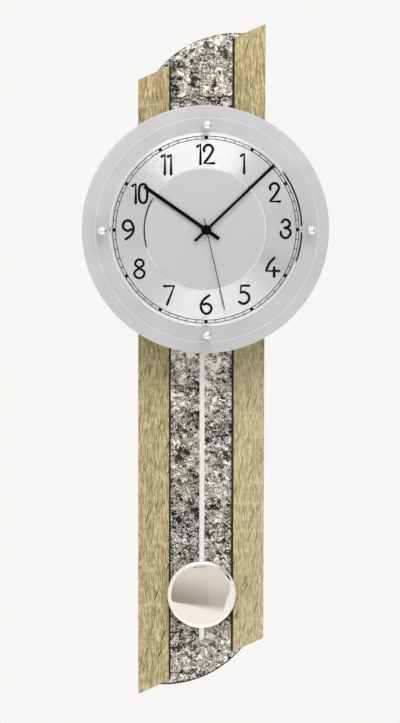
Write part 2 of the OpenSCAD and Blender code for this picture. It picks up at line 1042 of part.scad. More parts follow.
module train_bridge() {
    color("#e4e2da")
        stand()
            deep(bridge_level, bridge_t)
                difference() {
                    translate([0, (pillar_top + pillar_low) / 2])
                        rounded(2 * pillar_x + pillar_d, pillar_top - pillar_low + pillar_d, pillar_d / 2);
                    at_pillars()
                        circle(d = peg_d);
                    circle(d = arbor_d + 2 * running);
                    for (sx = [-1, 1])
                        translate([sx * idler_x, idler_y])
                            circle(d = idler_arbor + 2 * running);
                    for (sx = [-1, 1])
                        translate([sx * rotor_x, rotor_y])
                            circle(d = rotor_arbor + 2 * running);
                }
}

module gear(depth, t, teeth, module_size, at) {
    deep(depth, t)
        polygon(gear_outline(teeth, module_size, at));
}

// Arbor, wheel and collar that carry the second hand
module seconds_wheel() {
    color("#e9e4d2")
        stand()
            difference() {
                union() {
                    gear(seconds_level, wheel_t, wheel_teeth, wheel_module, 180 + train_dip);
                    deep(seconds_level - 0.6, 0.6)
                        circle(d = 3);
                    level(bridge_level + bridge_t + 0.5)
                        cylinder(d = arbor_d, h = second_hand_at + cap_h - 0.6 - case_inside + bridge_level + bridge_t + 0.5);
                }
                for (a = [0 : 90 : 270])
                    deep(seconds_level - overcut, wheel_t + 2 * overcut)
                        rotate(a)
                            translate([4.4, 0])
                                circle(d = 3);
            }
}

// Wheel and pinion on one arbor, in mesh with the hand wheel and with the rotor
module idler(side, wheel_level) {
    beta = side > 0 ? -train_dip : 180 + train_dip;
    translate([side * idler_x, idler_y, 0]) {
        gear(wheel_level - wheel_t - 0.9, wheel_t + 0.9, leaf_teeth, wheel_module, beta + 180 + 180 / leaf_teeth);
        gear(wheel_level, wheel_t, rotor_wheel_teeth, rotor_module, beta);
        deep(0, bridge_level + bridge_t + 0.4)
            circle(d = idler_arbor);
    }
}

module rotor(side, wheel_level, magnet_level) {
    beta = side > 0 ? -train_dip : 180 + train_dip;
    front = min(wheel_level - 0.3, magnet_level);
    translate([side * rotor_x, rotor_y, 0]) {
        gear(wheel_level - 0.3, wheel_t + 0.6, leaf_teeth, rotor_module, beta + 180 + 180 / leaf_teeth);
        deep(magnet_level, rotor_magnet_t)
            circle(d = rotor_magnet_d);
        deep(front - 1.5, bridge_level + bridge_t + 0.4 - front + 1.5)
            circle(d = rotor_arbor);
    }
}

module seconds_idler() {
    color("#e9e4d2")
        stand()
            idler(-1, seconds_idler_level);
}

module minute_idler() {
    color("#e9e4d2")
        stand()
            idler(1, minute_idler_level);
}

module seconds_rotor() {
    color("#56585c")
        stand()
            rotor(-1, seconds_idler_level, seconds_stator_level + stator_t / 2 - rotor_magnet_t / 2);
}

module minute_rotor() {
    color("#56585c")
        stand()
            rotor(1, minute_idler_level, minute_stator_level + stator_t / 2 - rotor_magnet_t / 2);
}

// Loop of sheet iron: a pole plate round the rotor, two limbs and a lower bar
module stator(side, depth) {
    deep(depth, stator_t)
        translate([side * rotor_x, 0])
            difference() {
                translate([-stator_w / 2, stator_low()])
                    square([stator_w, stator_h]);
                translate([-stator_w / 2 + stator_limb, stator_low() + stator_limb])
                    square([stator_w - 2 * stator_limb, stator_h - stator_w - stator_limb]);
                translate([0, rotor_y])
                    circle(d = stator_bore);
                translate([side * (stator_w - stator_limb) / 2 - side * (stator_w - stator_limb), stator_low() + stator_limb / 2])
                    circle(d = 1);
            }
}

module seconds_stator() {
    color("#9a9c9e")
        stand()
            stator(-1, seconds_stator_level);
}

module minute_stator() {
    color("#9a9c9e")
        stand()
            stator(1, minute_stator_level);
}

// Bobbin with its winding, threaded on the stator's outer limb
module stator_coil(side, depth) {
    x = side * (rotor_x + stator_w / 2 - stator_limb / 2);
    low = stator_low() + stator_limb + (stator_h - stator_w - stator_limb - stator_coil_len) / 2;
    translate([x, low - dial_drop, case_inside - depth - stator_t / 2])
        rotate([-90, 0, 0])
            difference() {
                union() {
                    cylinder(d = stator_coil_d, h = stator_coil_len);
                    for (z = [0, stator_coil_len - 0.8])
                        translate([0, 0, z])
                            cylinder(d = stator_coil_d + 1, h = 0.8);
                }
                translate([0, 0, stator_coil_len / 2])
                    cube([stator_limb, stator_t, stator_coil_len + 2 * overcut], center = true);
            }
}

module seconds_coil() {
    color("#b5652d")
        stand()
            stator_coil(-1, seconds_stator_level);
}

module minute_coil() {
    color("#b5652d")
        stand()
            stator_coil(1, minute_stator_level);
}

// Minute wheel with the cannon pinion and the pipe for the minute hand
module minute_wheel() {
    color("#e9e4d2")
        stand()
            difference() {
                union() {
                    gear(minute_level, wheel_t, wheel_teeth, wheel_module, -train_dip);
                    gear(motion_level - 0.2, wheel_t + 0.8, cannon_teeth, motion_module, 90);
                    level(minute_level)
                        cylinder(d = minute_pipe_d, h = minute_hand_at + hub_t + 0.4 - case_inside + minute_level);
                }
                level(minute_level + wheel_t + overcut)
                    cylinder(d = arbor_d + 2 * running, h = bush_front);
            }
}

// Wheel and pinion that turn on a post and gear the minute pipe down to the hour wheel
module motion_wheel() {
    color("#e9e4d2")
        stand()
            difference() {
                translate([0, motion_gap, 0]) {
                    gear(motion_level, wheel_t, motion_teeth, motion_module, 270 + 180 / motion_teeth);
                    gear(hour_level - 0.2, motion_level - hour_level + 0.2, motion_leaf_teeth, hour_module,
                        270 + 180 / motion_leaf_teeth);
                }
                translate([0, motion_gap, 0])
                    deep(-1, bridge_level)
                        circle(d = motion_post + 2 * running);
            }
}

module hour_wheel() {
    color("#e9e4d2")
        stand()
            difference() {
                union() {
                    gear(hour_level, wheel_t, hour_teeth, hour_module, 90);
                    level(hour_level)
                        cylinder(d = hour_pipe_d, h = hour_hand_at + hub_t + 0.3 - case_inside + hour_level);
                }
                level(hour_level + wheel_t + overcut)
                    cylinder(d = minute_pipe_d + 2 * running, h = bush_front);
            }
}

// Hands: flat bars with square ends on round bosses

module hand_bar(len, tail, w) {
    translate([-w / 2, -tail])
        square([w, len + tail]);
}

module hand(at, len, tail, w, boss_d, bore_d, angle) {
    stand()
        at_shaft()
            out(at)
                rotate(-angle)
                    difference() {
                        union() {
                            linear_extrude(hand_t)
                                hand_bar(len, tail, w);
                            cylinder(d = boss_d, h = hub_t);
                        }
                        translate([0, 0, -overcut])
                            cylinder(d = bore_d, h = hub_t + 2 * overcut);
                    }
}

module hour_hand() {
    color("#151515")
        hand(hour_hand_at, hour_len, hour_tail, hour_w, hub_d, hour_pipe_d, hour_angle);
}

module minute_hand() {
    color("#151515")
        hand(minute_hand_at, minute_len, minute_tail, minute_w, hub_d - 0.6, minute_pipe_d, minute_angle);
}

module second_hand() {
    color("#3a3a3a")
        stand()
            at_shaft()
                out(second_hand_at)
                    rotate(-second_angle)
                        difference() {
                            union() {
                                linear_extrude(hand_t)
                                    hand_bar(second_len, second_tail, second_w);
                                rotate_extrude()
                                    polygon([[0, 0], [cap_d / 2, 0], [cap_d / 2, cap_h - 0.5], [cap_d / 2 - 0.5, cap_h], [0, cap_h]]);
                            }
                            translate([0, 0, -overcut])
                                cylinder(d = arbor_d, h = cap_h - 0.6 + overcut);
                        }
}

// Receiver, board and battery

module circuit_board() {
    color("#2f6b3c")
        stand()
            union() {
                deep(board_level, pcb_t)
                    difference() {
                        translate([0, -pcb_down])
                            square([pcb_w, pcb_h], center = true);
                        translate([0, -coil_down])
                            circle(d = coil_post_d + 0.4);
                    }
                deep(board_level, pcb_t + switch_h)
                    for (sx = [-1, 1])
                        translate([sx * button_x, -coil_down])
                            square([4.5, 4.5], center = true);
                deep(board_level, pcb_t + 1.1)
                    translate([-9, -pcb_down + 4])
                        square([6, 6], center = true);
            }
}

module quartz_crystal() {
    color("#c9ccd0")
        stand()
            translate([6, -dial_drop - pcb_down + 4, case_inside - board_level - pcb_t - 1])
                rotate([0, 90, 0])
                    cylinder(d = 2, h = 6);
}

module along_aerial(len) {
    translate([-len / 2, -aerial_down - dial_drop, case_inside - aerial_level])
        rotate([0, 90, 0])
            children();
}

module aerial_rod() {
    color("#3b3a3c")
        stand()
            along_aerial(aerial_len)
                cylinder(d = aerial_d, h = aerial_len);
}

module aerial_coil() {
    color("#b5652d")
        stand()
            along_aerial(aerial_coil_len)
                ring(aerial_coil_d, aerial_d, aerial_coil_len);
}

module battery() {
    color("#3c6ea8")
        stand()
            translate([-cell_len / 2, cell_up - dial_drop, cell_out])
                rotate([0, 90, 0]) {
                    cylinder(d = cell_d, h = cell_len - cell_nub_len);
                    cylinder(d = cell_nub_d, h = cell_len);
                }
}

// Sheet contact on the case's side wall, with a round boss that meets the battery's nub
module plus_contact() {
    color("#d0d2d4")
        stand()
            translate([inside_w / 2 - contact_t, cell_up - dial_drop, cell_out])
                union() {
                    translate([0, -5, -5])
                        cube([contact_t, 10, 10]);
                    rotate([0, -90, 0])
                        cylinder(d = 5, h = inside_w / 2 - contact_t - cell_len / 2 - contact_gap);
                }
}

// Bent leaf on the other side wall, which presses on the battery's flat end
module minus_contact() {
    reach = inside_w / 2 - cell_len / 2 - contact_gap;
    color("#d0d2d4")
        stand()
            translate([-inside_w / 2, cell_up - dial_drop, cell_out - 4])
                linear_extrude(8)
                    polygon([
                        [0, -6], [contact_t, -6], [reach, -1], [reach, 1], [contact_t, 6], [0, 6],
                        [0, 5], [reach - contact_t, 0.6], [reach - contact_t, -0.6], [0, -5]
                    ]);
}

module push_button(side) {
    stand()
        translate([side * button_x, -dial_drop - coil_down, 0]) {
            out(cover_back - button_proud)
                cylinder(d = button_d, h = button_proud + cover_t + button_rest_gap);
            out(case_back + button_rest_gap)
                cylinder(d = button_flange, h = button_flange_t);
            out(case_back + button_rest_gap)
                cylinder(d = 2, h = case_inside - board_level - pcb_t - switch_h - button_travel - 0.4
                    - case_back - button_rest_gap);
        }
}

module reset_button() {
    color("#8f9193")
        push_button(-1);
}

module signal_button() {
    color("#8f9193")
        push_button(1);
}

// Coil that drives the pendulum, on a spigot of the case
module drive_coil() {
    color("#b5652d")
        stand()
            translate([0, -coil_down, 0])
                deep(drive_coil_level, drive_coil_len)
                    difference() {
                        circle(d = drive_coil_d);
                        circle(d = coil_spigot_d);
                    }
}

// Pendulum

module lever_pivot() {
    color("#d0d2d4")
        stand()
            translate([0, -dial_drop - pivot_down, 0]) {
                out(lever_boss_back - 0.4)
                    cylinder(d = pin_d, h = cover_back + cover_t + 2.4 - lever_boss_back + 0.4);
                out(lever_boss_back - 1.2)
                    cylinder(d = pin_d + 2, h = 0.8);
            }
}

// Swinging lever: bearing boss, arm, round end with the magnet, and a peg that the rod hangs on
module drive_lever() {
    color("#e4e2da")
        stand()
            at_shaft()
                difference() {
                    union() {
                        translate([0, -pivot_down, lever_boss_back])
                            cylinder(d = lever_boss_d, h = lever_front - lever_boss_back);
                        translate([0, 0, lever_front - lever_arm_t])
                            linear_extrude(lever_arm_t) {
                                translate([-lever_arm_w / 2, -coil_down])
                                    square([lever_arm_w, coil_down - pivot_down]);
                                translate([0, -coil_down])
                                    circle(d = lever_end_d);
                            }
                        translate([0, -hook_down, rod_back - 0.4])
                            cylinder(d = hook_d, h = lever_front - rod_back);
                        translate([0, -hook_down, rod_back - 1.2])
                            cylinder(d = hook_d + 2, h = 0.8);
                        translate([0, -hook_down, rod_front + 0.4])
                            cylinder(d = hook_d + 2, h = lever_front - lever_arm_t - rod_front);
                    }
                    translate([0, -pivot_down, lever_boss_back - overcut])
                        cylinder(d = pin_d + 2 * running, h = lever_front - lever_boss_back + 2 * overcut);
                    translate([0, -coil_down, lever_front - magnet_t])
                        cylinder(d = magnet_d, h = magnet_t + overcut);
                }
}

module lever_magnet() {
    color("#8d8f92")
        stand()
            at_shaft()
                translate([0, -coil_down, lever_front - magnet_t])
                    cylinder(d = magnet_d, h = magnet_t);
}

module pendulum_rod() {
    color("#e2e3e4")
        stand()
            at_shaft()
                out(rod_back)
                    linear_extrude(rod_t)
                        difference() {
                            polygon([
                                for (a = [0 : 15 : 180])
                                    [rod_w / 2 * cos(a), -rod_top + rod_w / 2 * sin(a)],
                                for (a = [180 : 15 : 360])
                                    [rod_w / 2 * cos(a), rod_low + rod_taper * (1 + sin(a))]
                            ]);
                            translate([0, -hook_down])
                                circle(d = eye_d);
                        }
}

// Half section of a disc with a domed face and a rounded edge, set in by the given skin
module bob_section(skin, foot) {
    face_r = bob_face_r - skin;
    join_x = bob_edge_x * face_r / bob_offset;
    intersection() {
        translate([0, bob_face_out])
            circle(r = face_r, $fn = 360);
        translate([0, -foot])
            square([join_x, bob_d]);
    }
    intersection() {
        translate([bob_edge_x, bob_edge_out])
            circle(r = bob_edge_r - skin, $fn = 360);
        translate([join_x, -foot])
            square([bob_d, bob_d]);
    }
}

// Spun sheet, open at the back
module pendulum_bob() {
    color("#e6e5e2")
        stand()
            translate([0, -dial_drop - bob_down, bob_back])
                rotate_extrude($fn = 128)
                    difference() {
                        bob_section(0, 0);
                        bob_section(bob_t, overcut);
                    }
}

// Spring strip across the bob's back, bent round the rod
module bob_clip() {
    loop_x = rod_w / 2 + 0.4;
    color("#b9bcc0")
        stand()
            translate([0, -dial_drop - bob_down + clip_w / 2, 0])
                rotate([90, 0, 0])
                    linear_extrude(clip_w)
                        polygon([
                            [-clip_len / 2, bob_back - clip_t], [-loop_x - 2, bob_back - clip_t],
                            [-loop_x - clip_t, clip_back], [loop_x + clip_t, clip_back],
                            [loop_x + 2, bob_back - clip_t], [clip_len / 2, bob_back - clip_t],
                            [clip_len / 2, bob_back], [loop_x + 1.6, bob_back],
                            [loop_x, rod_back], [-loop_x, rod_back],
                            [-loop_x - 1.6, bob_back], [-clip_len / 2, bob_back]
                        ]);
}

left_stile();
right_stile();
left_shadow_strip();
right_shadow_strip();
slate_board();
slate_sheet();
upper_batten();
lower_batten();
batten_screws();
hanger_plate();
hanger_screws();
dial_spacers();
spacer_foot_screws();
dial_plate();
dial_screws();
chapter_disc();
glass_disc();
glass_sleeves();
glass_studs();
glass_nuts();
glass_washers();
glass_knobs();
movement_case();
movement_cover();
movement_screws();
rubber_washer();
train_bridge();
seconds_wheel();
seconds_idler();
seconds_rotor();
seconds_stator();
seconds_coil();
minute_wheel();
minute_idler();
minute_rotor();
minute_stator();
minute_coil();
motion_wheel();
hour_wheel();
hour_hand();
minute_hand();
second_hand();
circuit_board();
quartz_crystal();
aerial_rod();
aerial_coil();
battery();
plus_contact();
minus_contact();
reset_button();
signal_button();
drive_coil();
drive_lever();
lever_pivot();
lever_magnet();
pendulum_rod();
pendulum_bob();
bob_clip();
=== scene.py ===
import math

import bmesh
import bpy
from mathutils import Matrix, Quaternion, Vector, noise


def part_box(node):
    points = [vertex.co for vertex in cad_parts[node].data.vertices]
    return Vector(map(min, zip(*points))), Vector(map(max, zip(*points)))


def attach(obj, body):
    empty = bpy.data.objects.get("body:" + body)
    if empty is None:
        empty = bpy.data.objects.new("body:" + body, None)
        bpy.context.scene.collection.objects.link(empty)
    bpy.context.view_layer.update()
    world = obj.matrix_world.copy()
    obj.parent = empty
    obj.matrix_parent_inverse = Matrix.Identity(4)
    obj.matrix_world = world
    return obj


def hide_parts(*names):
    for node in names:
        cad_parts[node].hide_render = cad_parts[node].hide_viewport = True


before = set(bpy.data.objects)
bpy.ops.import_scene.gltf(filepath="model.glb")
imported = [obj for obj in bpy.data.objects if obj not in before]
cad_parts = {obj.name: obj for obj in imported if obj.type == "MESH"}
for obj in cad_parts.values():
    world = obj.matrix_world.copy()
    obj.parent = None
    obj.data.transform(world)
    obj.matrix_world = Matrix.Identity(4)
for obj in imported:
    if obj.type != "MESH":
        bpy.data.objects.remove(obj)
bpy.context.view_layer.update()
scene = bpy.context.scene
scene.view_settings.view_transform = "Standard"


# Camera
# It stands 2.9 m in front of the clock, five degrees to the left of its middle and five degrees
# above it, and looks through a long lens. The clock hangs free, with nothing behind it.
camera_distance = 2.8868
camera_left = math.radians(5.041)
camera_above = math.radians(5.485)
camera_roll = math.radians(0.105)
camera_aim = Vector((0.000457, 0.0, -0.271383))
towards_camera = Vector((
    -math.sin(camera_left) * math.cos(camera_above),
    -math.cos(camera_left) * math.cos(camera_above),
    math.sin(camera_above),
))
camera = bpy.data.objects.new("camera", bpy.data.cameras.new("camera"))
scene.collection.objects.link(camera)
camera.data.sensor_width = 36.0
camera.data.lens = 140.9
camera.location = camera_aim + towards_camera * camera_distance
camera.rotation_mode = "QUATERNION"
camera.rotation_quaternion = (
    (-towards_camera).to_track_quat("-Z", "Y") @ Quaternion((0.0, 0.0, 1.0), camera_roll)
)
scene.camera = camera


# Studio
# A white tent stands round the clock, with a pale table below and a warm grey gap in front, where
# the photographer works. Two soft lamps light the front, a softbox above shows in the metal, and
# strips of black card stand at the right.
class Wire:
    """One output of a shader node. Arithmetic on it adds Math nodes to the same tree."""

    def __init__(self, socket):
        self.socket = socket
        self.tree = socket.id_data

    def node(self, kind, settings, inputs, output=0):
        """Adds any shader node: first its settings, then the values or wires of its inputs."""
        made = self.tree.nodes.new("ShaderNode" + kind)
        for key, value in settings.items():
            if key == "stops":
                ramp = made.color_ramp
                ramp.elements[0].position, ramp.elements[0].color = value[0]
                ramp.elements[1].position, ramp.elements[1].color = value[-1]
                for position, colour in value[1:-1]:
                    ramp.elements.new(position).color = colour
            else:
                setattr(made, key, value)
        for key, value in inputs.items():
            if isinstance(value, Wire):
                self.tree.links.new(value.socket, made.inputs[key])
            else:
                made.inputs[key].default_value = value
        return Wire(made.outputs[output])

    def beside(self, name):
        """Another output of the node that this wire comes from."""
        return Wire(self.socket.node.outputs[name])

    def math(self, operation, first, second=0.0):
        return self.node("Math", {"operation": operation}, {0: first, 1: second})

    def sine(self):
        return self.math("SINE", self)

    def __add__(self, other):
        return self.math("ADD", self, other)

    def __radd__(self, other):
        return self.math("ADD", other, self)

    def __sub__(self, other):
        return self.math("SUBTRACT", self, other)

    def __rsub__(self, other):
        return self.math("SUBTRACT", other, self)

    def __mul__(self, other):
        return self.math("MULTIPLY", self, other)

    def __rmul__(self, other):
        return self.math("MULTIPLY", other, self)

    def __truediv__(self, other):
        return self.math("DIVIDE", self, other)

    def __abs__(self):
        return self.math("ABSOLUTE", self)

    def rises(self, low, high):
        """0 below low, 1 above high, and smooth between them."""
        return self.node(
            "MapRange",
            {"interpolation_type": "SMOOTHSTEP"},
            {"Value": self, "From Min": low, "From Max": high},
        )

    def within(self, low, low_end, high, high_end):
        """1 between two limits, 0 outside them, and smooth across each."""
        return self.rises(low, low_end) * (1 - self.rises(high, high_end))

    def mixes(self, under, over, blend="MIX"):
        """The colour under where this mask is 0, and over, or its blend with under, where it is 1."""
        return self.node("Mix", {"data_type": "RGBA", "blend_type": blend}, {0: self, 6: under, 7: over}, 2)

    def into(self, node, name):
        self.tree.links.new(self.socket, node.inputs[name])


def paint(red, green, blue):
    """A colour given as 0 to 255 on the screen, as Blender's linear values."""
    def linear(part):
        part = part / 255
        return part / 12.92 if part <= 0.04045 else ((part + 0.055) / 1.055) ** 2.4
    return (linear(red), linear(green), linear(blue), 1.0)


gap_left = -0.45
gap_right = 0.476
gap_right_lean = 0.37
gap_top = 0.38
gap_top_lean = 0.3
bar_height = 0.187
bar_lean = 0.06
table_edge = -0.3047
table_slope = -0.159
world = bpy.data.worlds.new("studio")
scene.world = world
world.use_nodes = True
world_tree = world.node_tree
towards = Wire(world_tree.nodes.new("ShaderNodeTexCoord").outputs["Generated"])
across = towards.node("SeparateXYZ", {}, {0: towards})
ahead = across.beside("Y")
upward = across.beside("Z")
in_front = 1 - ahead.rises(-0.2, 0.0)
over_table = upward - (across * table_slope + table_edge)
table_blur = across.rises(-0.3, 0.35) * 0.11 + 0.02
to_right = across - upward * gap_right_lean
gap = (
    across.rises(gap_left - 0.012, gap_left + 0.012)
    * (1 - to_right.rises(gap_right - 0.01, gap_right + 0.01))
    * (over_table / table_blur).rises(-0.5, 0.5)
    * (1 - (upward - across * gap_top_lean).rises(gap_top - 0.04, gap_top + 0.04))
    * in_front
)
gap_low = across.rises(gap_left, gap_right).mixes(paint(164, 157, 138), paint(190, 182, 168))
gap_low = (across.rises(0.16, 0.18) * 0.3).mixes(gap_low, paint(224, 214, 206))
gap_colour = over_table.rises(0.02, 0.46).mixes(gap_low, paint(238, 232, 222))
bar = (
    across.within(-0.05, -0.03, 0.13, 0.16)
    * (1 - abs(upward - across * bar_lean - bar_height).rises(0.006, 0.012))
    * in_front
)
gap_colour = (bar * 0.7).mixes(gap_colour, paint(90, 88, 78))
tent = over_table.rises(-0.01, 0.05).mixes((1.06, 1.04, 1.0, 1.0), (1.03, 1.01, 0.97, 1.0))
tent = gap.mixes(tent, gap_colour)
surroundings = towards.node("Background", {}, {"Color": tent, "Strength": 0.88})
ground = towards.node("Background", {}, {"Color": paint(247, 246, 244), "Strength": 1.0})
seen = towards.node("LightPath", {}, {})
towards.node("MixShader", {}, {0: seen, 1: surroundings, 2: ground}).into(
    world_tree.nodes["World Output"], "Surface"
)


def soft_lamp(name, place, aim, width, height, watts, mirrored):
    data = bpy.data.lights.new(name, "AREA")
    data.shape = "RECTANGLE"
    data.size = width
    data.size_y = height
    data.energy = watts
    lamp = bpy.data.objects.new(name, data)
    lamp.location = place
    lamp.visible_glossy = mirrored
    lamp.rotation_mode = "QUATERNION"
    lamp.rotation_quaternion = (Vector(aim) - Vector(place)).to_track_quat("-Z", "Y")
    scene.collection.objects.link(lamp)


soft_lamp("key_lamp", (0.25, -1.7, 1.75), (0.0, 0.0, -0.3), 1.6, 1.2, 42.0, False)
soft_lamp("fill_lamp", (0.1, -2.7, -0.5), (0.0, 0.0, -0.3), 1.2, 1.2, 10.0, False)
soft_lamp("softbox", (0.0, -1.0, 0.72), (0.0, 0.0, -0.2), 1.2, 0.65, 5.2, True)


def finished(shape, name):
    """Makes a drawn shape a named object of the scene."""
    mesh = bpy.data.meshes.new(name)
    shape.to_mesh(mesh)
    shape.free()
    piece = bpy.data.objects.new(name, mesh)
    scene.collection.objects.link(piece)
    return piece


floor_level = -1.6
floor_radius = 1.3
shape = bmesh.new()
bmesh.ops.create_circle(shape, cap_ends=True, segments=96, radius=floor_radius)
bmesh.ops.translate(shape, verts=shape.verts, vec=(0.0, 0.0, floor_level))
floor = finished(shape, "floor")

card_x = 0.45
card_spans = [
    (-0.56, -0.44, -0.3, -0.05), (-0.75, -0.22, -0.4, -0.3),
    (-0.24, -0.1, -0.3, -0.1), (-0.26, -0.15, -0.1, 0.15),
]
shape = bmesh.new()
for front, back, low, high in card_spans:
    shape.faces.new([shape.verts.new((card_x, y, z)) for y, z in (
        (front, low), (back, low), (back, high), (front, high))])
black_card = finished(shape, "black_card")
black_card.visible_camera = False


def finish_named(name, sockets):
    """A new material with its constant sockets set, its shader, and a wire of Object coordinates."""
    material = bpy.data.materials.new(name)
    material.use_nodes = True
    shader = material.node_tree.nodes["Principled BSDF"]
    for key, value in sockets.items():
        shader.inputs[key].default_value = value
    place = Wire(material.node_tree.nodes.new("ShaderNodeTexCoord").outputs["Object"])
    return material, shader, place


def cloudy(place, stretch, scale, detail=3.0, rough=0.55, turn=(0.0, 0.0, 0.0), warp=0.0):
    """Noise on a piece, drawn out along any axis whose stretch is small."""
    mapped = place.node("Mapping", {}, {"Vector": place, "Scale": stretch, "Rotation": turn})
    return place.node("TexNoise", {}, {
        "Vector": mapped, "Scale": scale, "Detail": detail, "Roughness": rough, "Distortion": warp,
    })


EVEN = (1.0, 1.0, 1.0)
floor_paint, shader, place = finish_named("floor_paint", {"Roughness": 0.7})
patch = cloudy(place, EVEN, 3.0)
patch.mixes(paint(244, 243, 241), paint(249, 248, 246)).into(shader, "Base Color")
floor.data.materials.append(floor_paint)
card_felt, shader, place = finish_named("card_felt", {"Roughness": 0.9, "Specular IOR Level": 0.1})
cloudy(place, EVEN, 400.0).mixes(paint(8, 8, 8), paint(16, 16, 17)).into(shader, "Base Color")
black_card.data.materials.append(card_felt)


# Stiles
# Two fibreboard uprights are wrapped in a printed oak foil with a rough-sawn look: pale sand
# colour, fine upright pores, dark slanting cracks and faint saw marks. Both ends are cut on a slant.
def dress(material, *names):
    """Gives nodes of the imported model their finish."""
    for name in names:
        node_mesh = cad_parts[name].data
        node_mesh.materials.clear()
        node_mesh.materials.append(material)


def bump(height, shader, strength, depth):
    bumped = height.node("Bump", {}, {"Strength": strength, "Distance": depth, "Height": height})
    bumped.into(shader, "Normal")


oak_foil, shader, place = finish_named("oak_foil", {"Specular IOR Level": 0.3})
sway = cloudy(place, (1.0, 1.0, 0.3), 14.0, detail=2.0)
flow = place.node("VectorMath", {"operation": "ADD"}, {
    0: place, 1: place.node("CombineXYZ", {}, {"X": (sway - 0.5) * 0.03}),
})
bands = cloudy(flow, (1.0, 1.0, 0.05), 260.0, detail=3.0, rough=0.6)
dashes = cloudy(flow, (1.0, 1.0, 0.1), 1700.0, detail=1.0)
pores = cloudy(flow, (1.0, 1.0, 0.05), 1100.0, detail=0.0)
saw = cloudy(place, (0.05, 1.0, 1.0), 260.0, detail=3.0, rough=0.75)
wide = cloudy(place, (1.0, 1.0, 0.4), 20.0, detail=2.0)
crack_reach = Vector((1 / 540, 1.0, 1 / 50))


def cracks_leaning(degrees):
    """Short thin cracks that all lean the same way: a few of the long cells of a leaning pattern."""
    leaning = place.node("Mapping", {"vector_type": "TEXTURE"}, {
        "Vector": flow, "Rotation": (0.0, math.radians(degrees), 0.0), "Scale": crack_reach,
    })
    cell = place.node("TexVoronoi", {}, {"Vector": leaning, "Scale": 1.0})
    chosen = place.node("SeparateColor", {}, {"Color": cell.beside("Color")}).rises(0.81, 0.82)
    return (1 - cell.rises(0.24, 0.42)) * chosen


wood_across = place.node("SeparateXYZ", {}, {0: place})
wood_up = wood_across.beside("Z")
lower = 1 - wood_up.rises(-0.36, -0.34)
leans = 1 - (1 - cloudy(place, (1.0, 1.0, 0.7), 13.0, detail=1.0).rises(0.46, 0.5)) * (1 - lower)
normal = place.node("NewGeometry", {}, {}).beside("Normal")
facing = abs(place.node("SeparateXYZ", {}, {0: normal}).beside("Y")).rises(0.5, 0.6)
cracks = (cracks_leaning(20.0) * leans + cracks_leaning(-17.0) * (1 - leans)) * facing
colour = bands.rises(0.3, 0.7).mixes(paint(153, 139, 100), paint(167, 153, 116))
colour = (wide.rises(0.4, 0.7) * 0.2).mixes(colour, paint(142, 129, 86))
colour = (dashes.rises(0.5, 0.62) * 0.62).mixes(colour, paint(112, 96, 54))
colour = ((1 - dashes.rises(0.38, 0.5)) * 0.6).mixes(colour, paint(202, 192, 158))
colour = (pores.rises(0.56, 0.66) * 0.5).mixes(colour, paint(104, 88, 48))
colour = (saw.rises(0.54, 0.7) * 0.28).mixes(colour, paint(200, 190, 156))
colour = (cracks * 0.92).mixes(colour, paint(72, 58, 30))
# Painted light: below the dial the right stile is painted a little paler than the left, as if more light
# falls on it.
painted_light_right = wood_across.rises(0.0, 0.001) * (1 - wood_up.rises(-0.26, -0.22))
colour = (painted_light_right * 0.11).mixes(colour, paint(214, 206, 186))
colour.into(shader, "Base Color")
(bands * 0.2 + 0.5).into(shader, "Roughness")
bump(bands * 0.3 - dashes * 0.5 - cracks, shader, 0.5, 0.0003)
dress(oak_foil, "left_stile", "right_stile")


# Shadow strips
# A narrow black-brown plastic strip covers the joint between each stile and the stone. It is
# glued along the stile's inner edge and ends on the same slant.
black_strip, shader, place = finish_named("black_strip", {"Specular IOR Level": 0.3})
streak = cloudy(place, (1.0, 1.0, 0.05), 300.0)
streak.mixes(paint(24, 18, 13), paint(52, 42, 32)).into(shader, "Base Color")
(streak * 0.2 + 0.55).into(shader, "Roughness")
bump(streak, shader, 0.3, 0.0001)
dress(black_strip, "left_shadow_strip", "right_shadow_strip")


# Backing board and stone sheet
# A sheet of real split stone, a few millimetres thick, is glued on a fibreboard panel that lies in
# the stiles' rear rabbets. Its face is the raw cleft surface, and both its ends bulge in a shallow arc.
fibreboard, shader, place = finish_named("fibreboard", {"Specular IOR Level": 0.25})
fibre = cloudy(place, (1.0, 0.5, 1.0), 900.0, detail=4.0, rough=0.7)
fibre.mixes(paint(46, 42, 37), paint(86, 80, 72)).into(shader, "Base Color")
(fibre * 0.1 + 0.8).into(shader, "Roughness")
bump(fibre, shader, 0.4, 0.0002)
dress(fibreboard, "slate_board")

sheet_low, sheet_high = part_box("slate_sheet")
sheet_half = sheet_high.x
sheet_back = sheet_high.y
sheet_face = sheet_low.y
panel_mid = (sheet_low.z + sheet_high.z) / 2
end_slant = 28.0 / 64.0
end_mid = 0.042
end_bulge = 0.012
chord_half = sheet_half * math.hypot(1.0, end_slant)
arc_radius = (chord_half ** 2 + end_bulge ** 2) / (2 * end_bulge)
slant_angle = math.atan(end_slant)
arc_x = (arc_radius - end_bulge) * math.sin(slant_angle)
arc_up = end_mid - (arc_radius - end_bulge) * math.cos(slant_angle)


def upper_end(x):
    return arc_up + math.sqrt(arc_radius ** 2 - (x - arc_x) ** 2)


def lower_end(x):
    return 2 * panel_mid - upper_end(-x)


# Unless it has a seed, noise_vector gives another field each run.
noise.seed_set(1)


def cleft(x, up):
    """How far the split face stands above its lowest hollow at one place, from 0 to 1."""
    spot = Vector((x, 0.0, up))
    drift = noise.noise_vector(spot * 70) * 0.003
    layers = noise.cell(Vector((x * 1.3, 0.0, up)) * 260 + drift * 260)
    lumps = noise.fractal(spot * 95 + drift * 95, 1.0, 2.1, 3)
    sides = noise.voronoi((spot + drift) * 230)[0]
    flake = min(1.0, (sides[1] - sides[0]) * 2.2)
    broad = noise.fractal(spot * 22, 1.0, 2.0, 2)
    return min(1.0, max(0.0, 0.46 + 0.3 * lumps + 0.1 * (flake - 0.5) + 0.07 * (layers - 0.5) + 0.12 * broad))


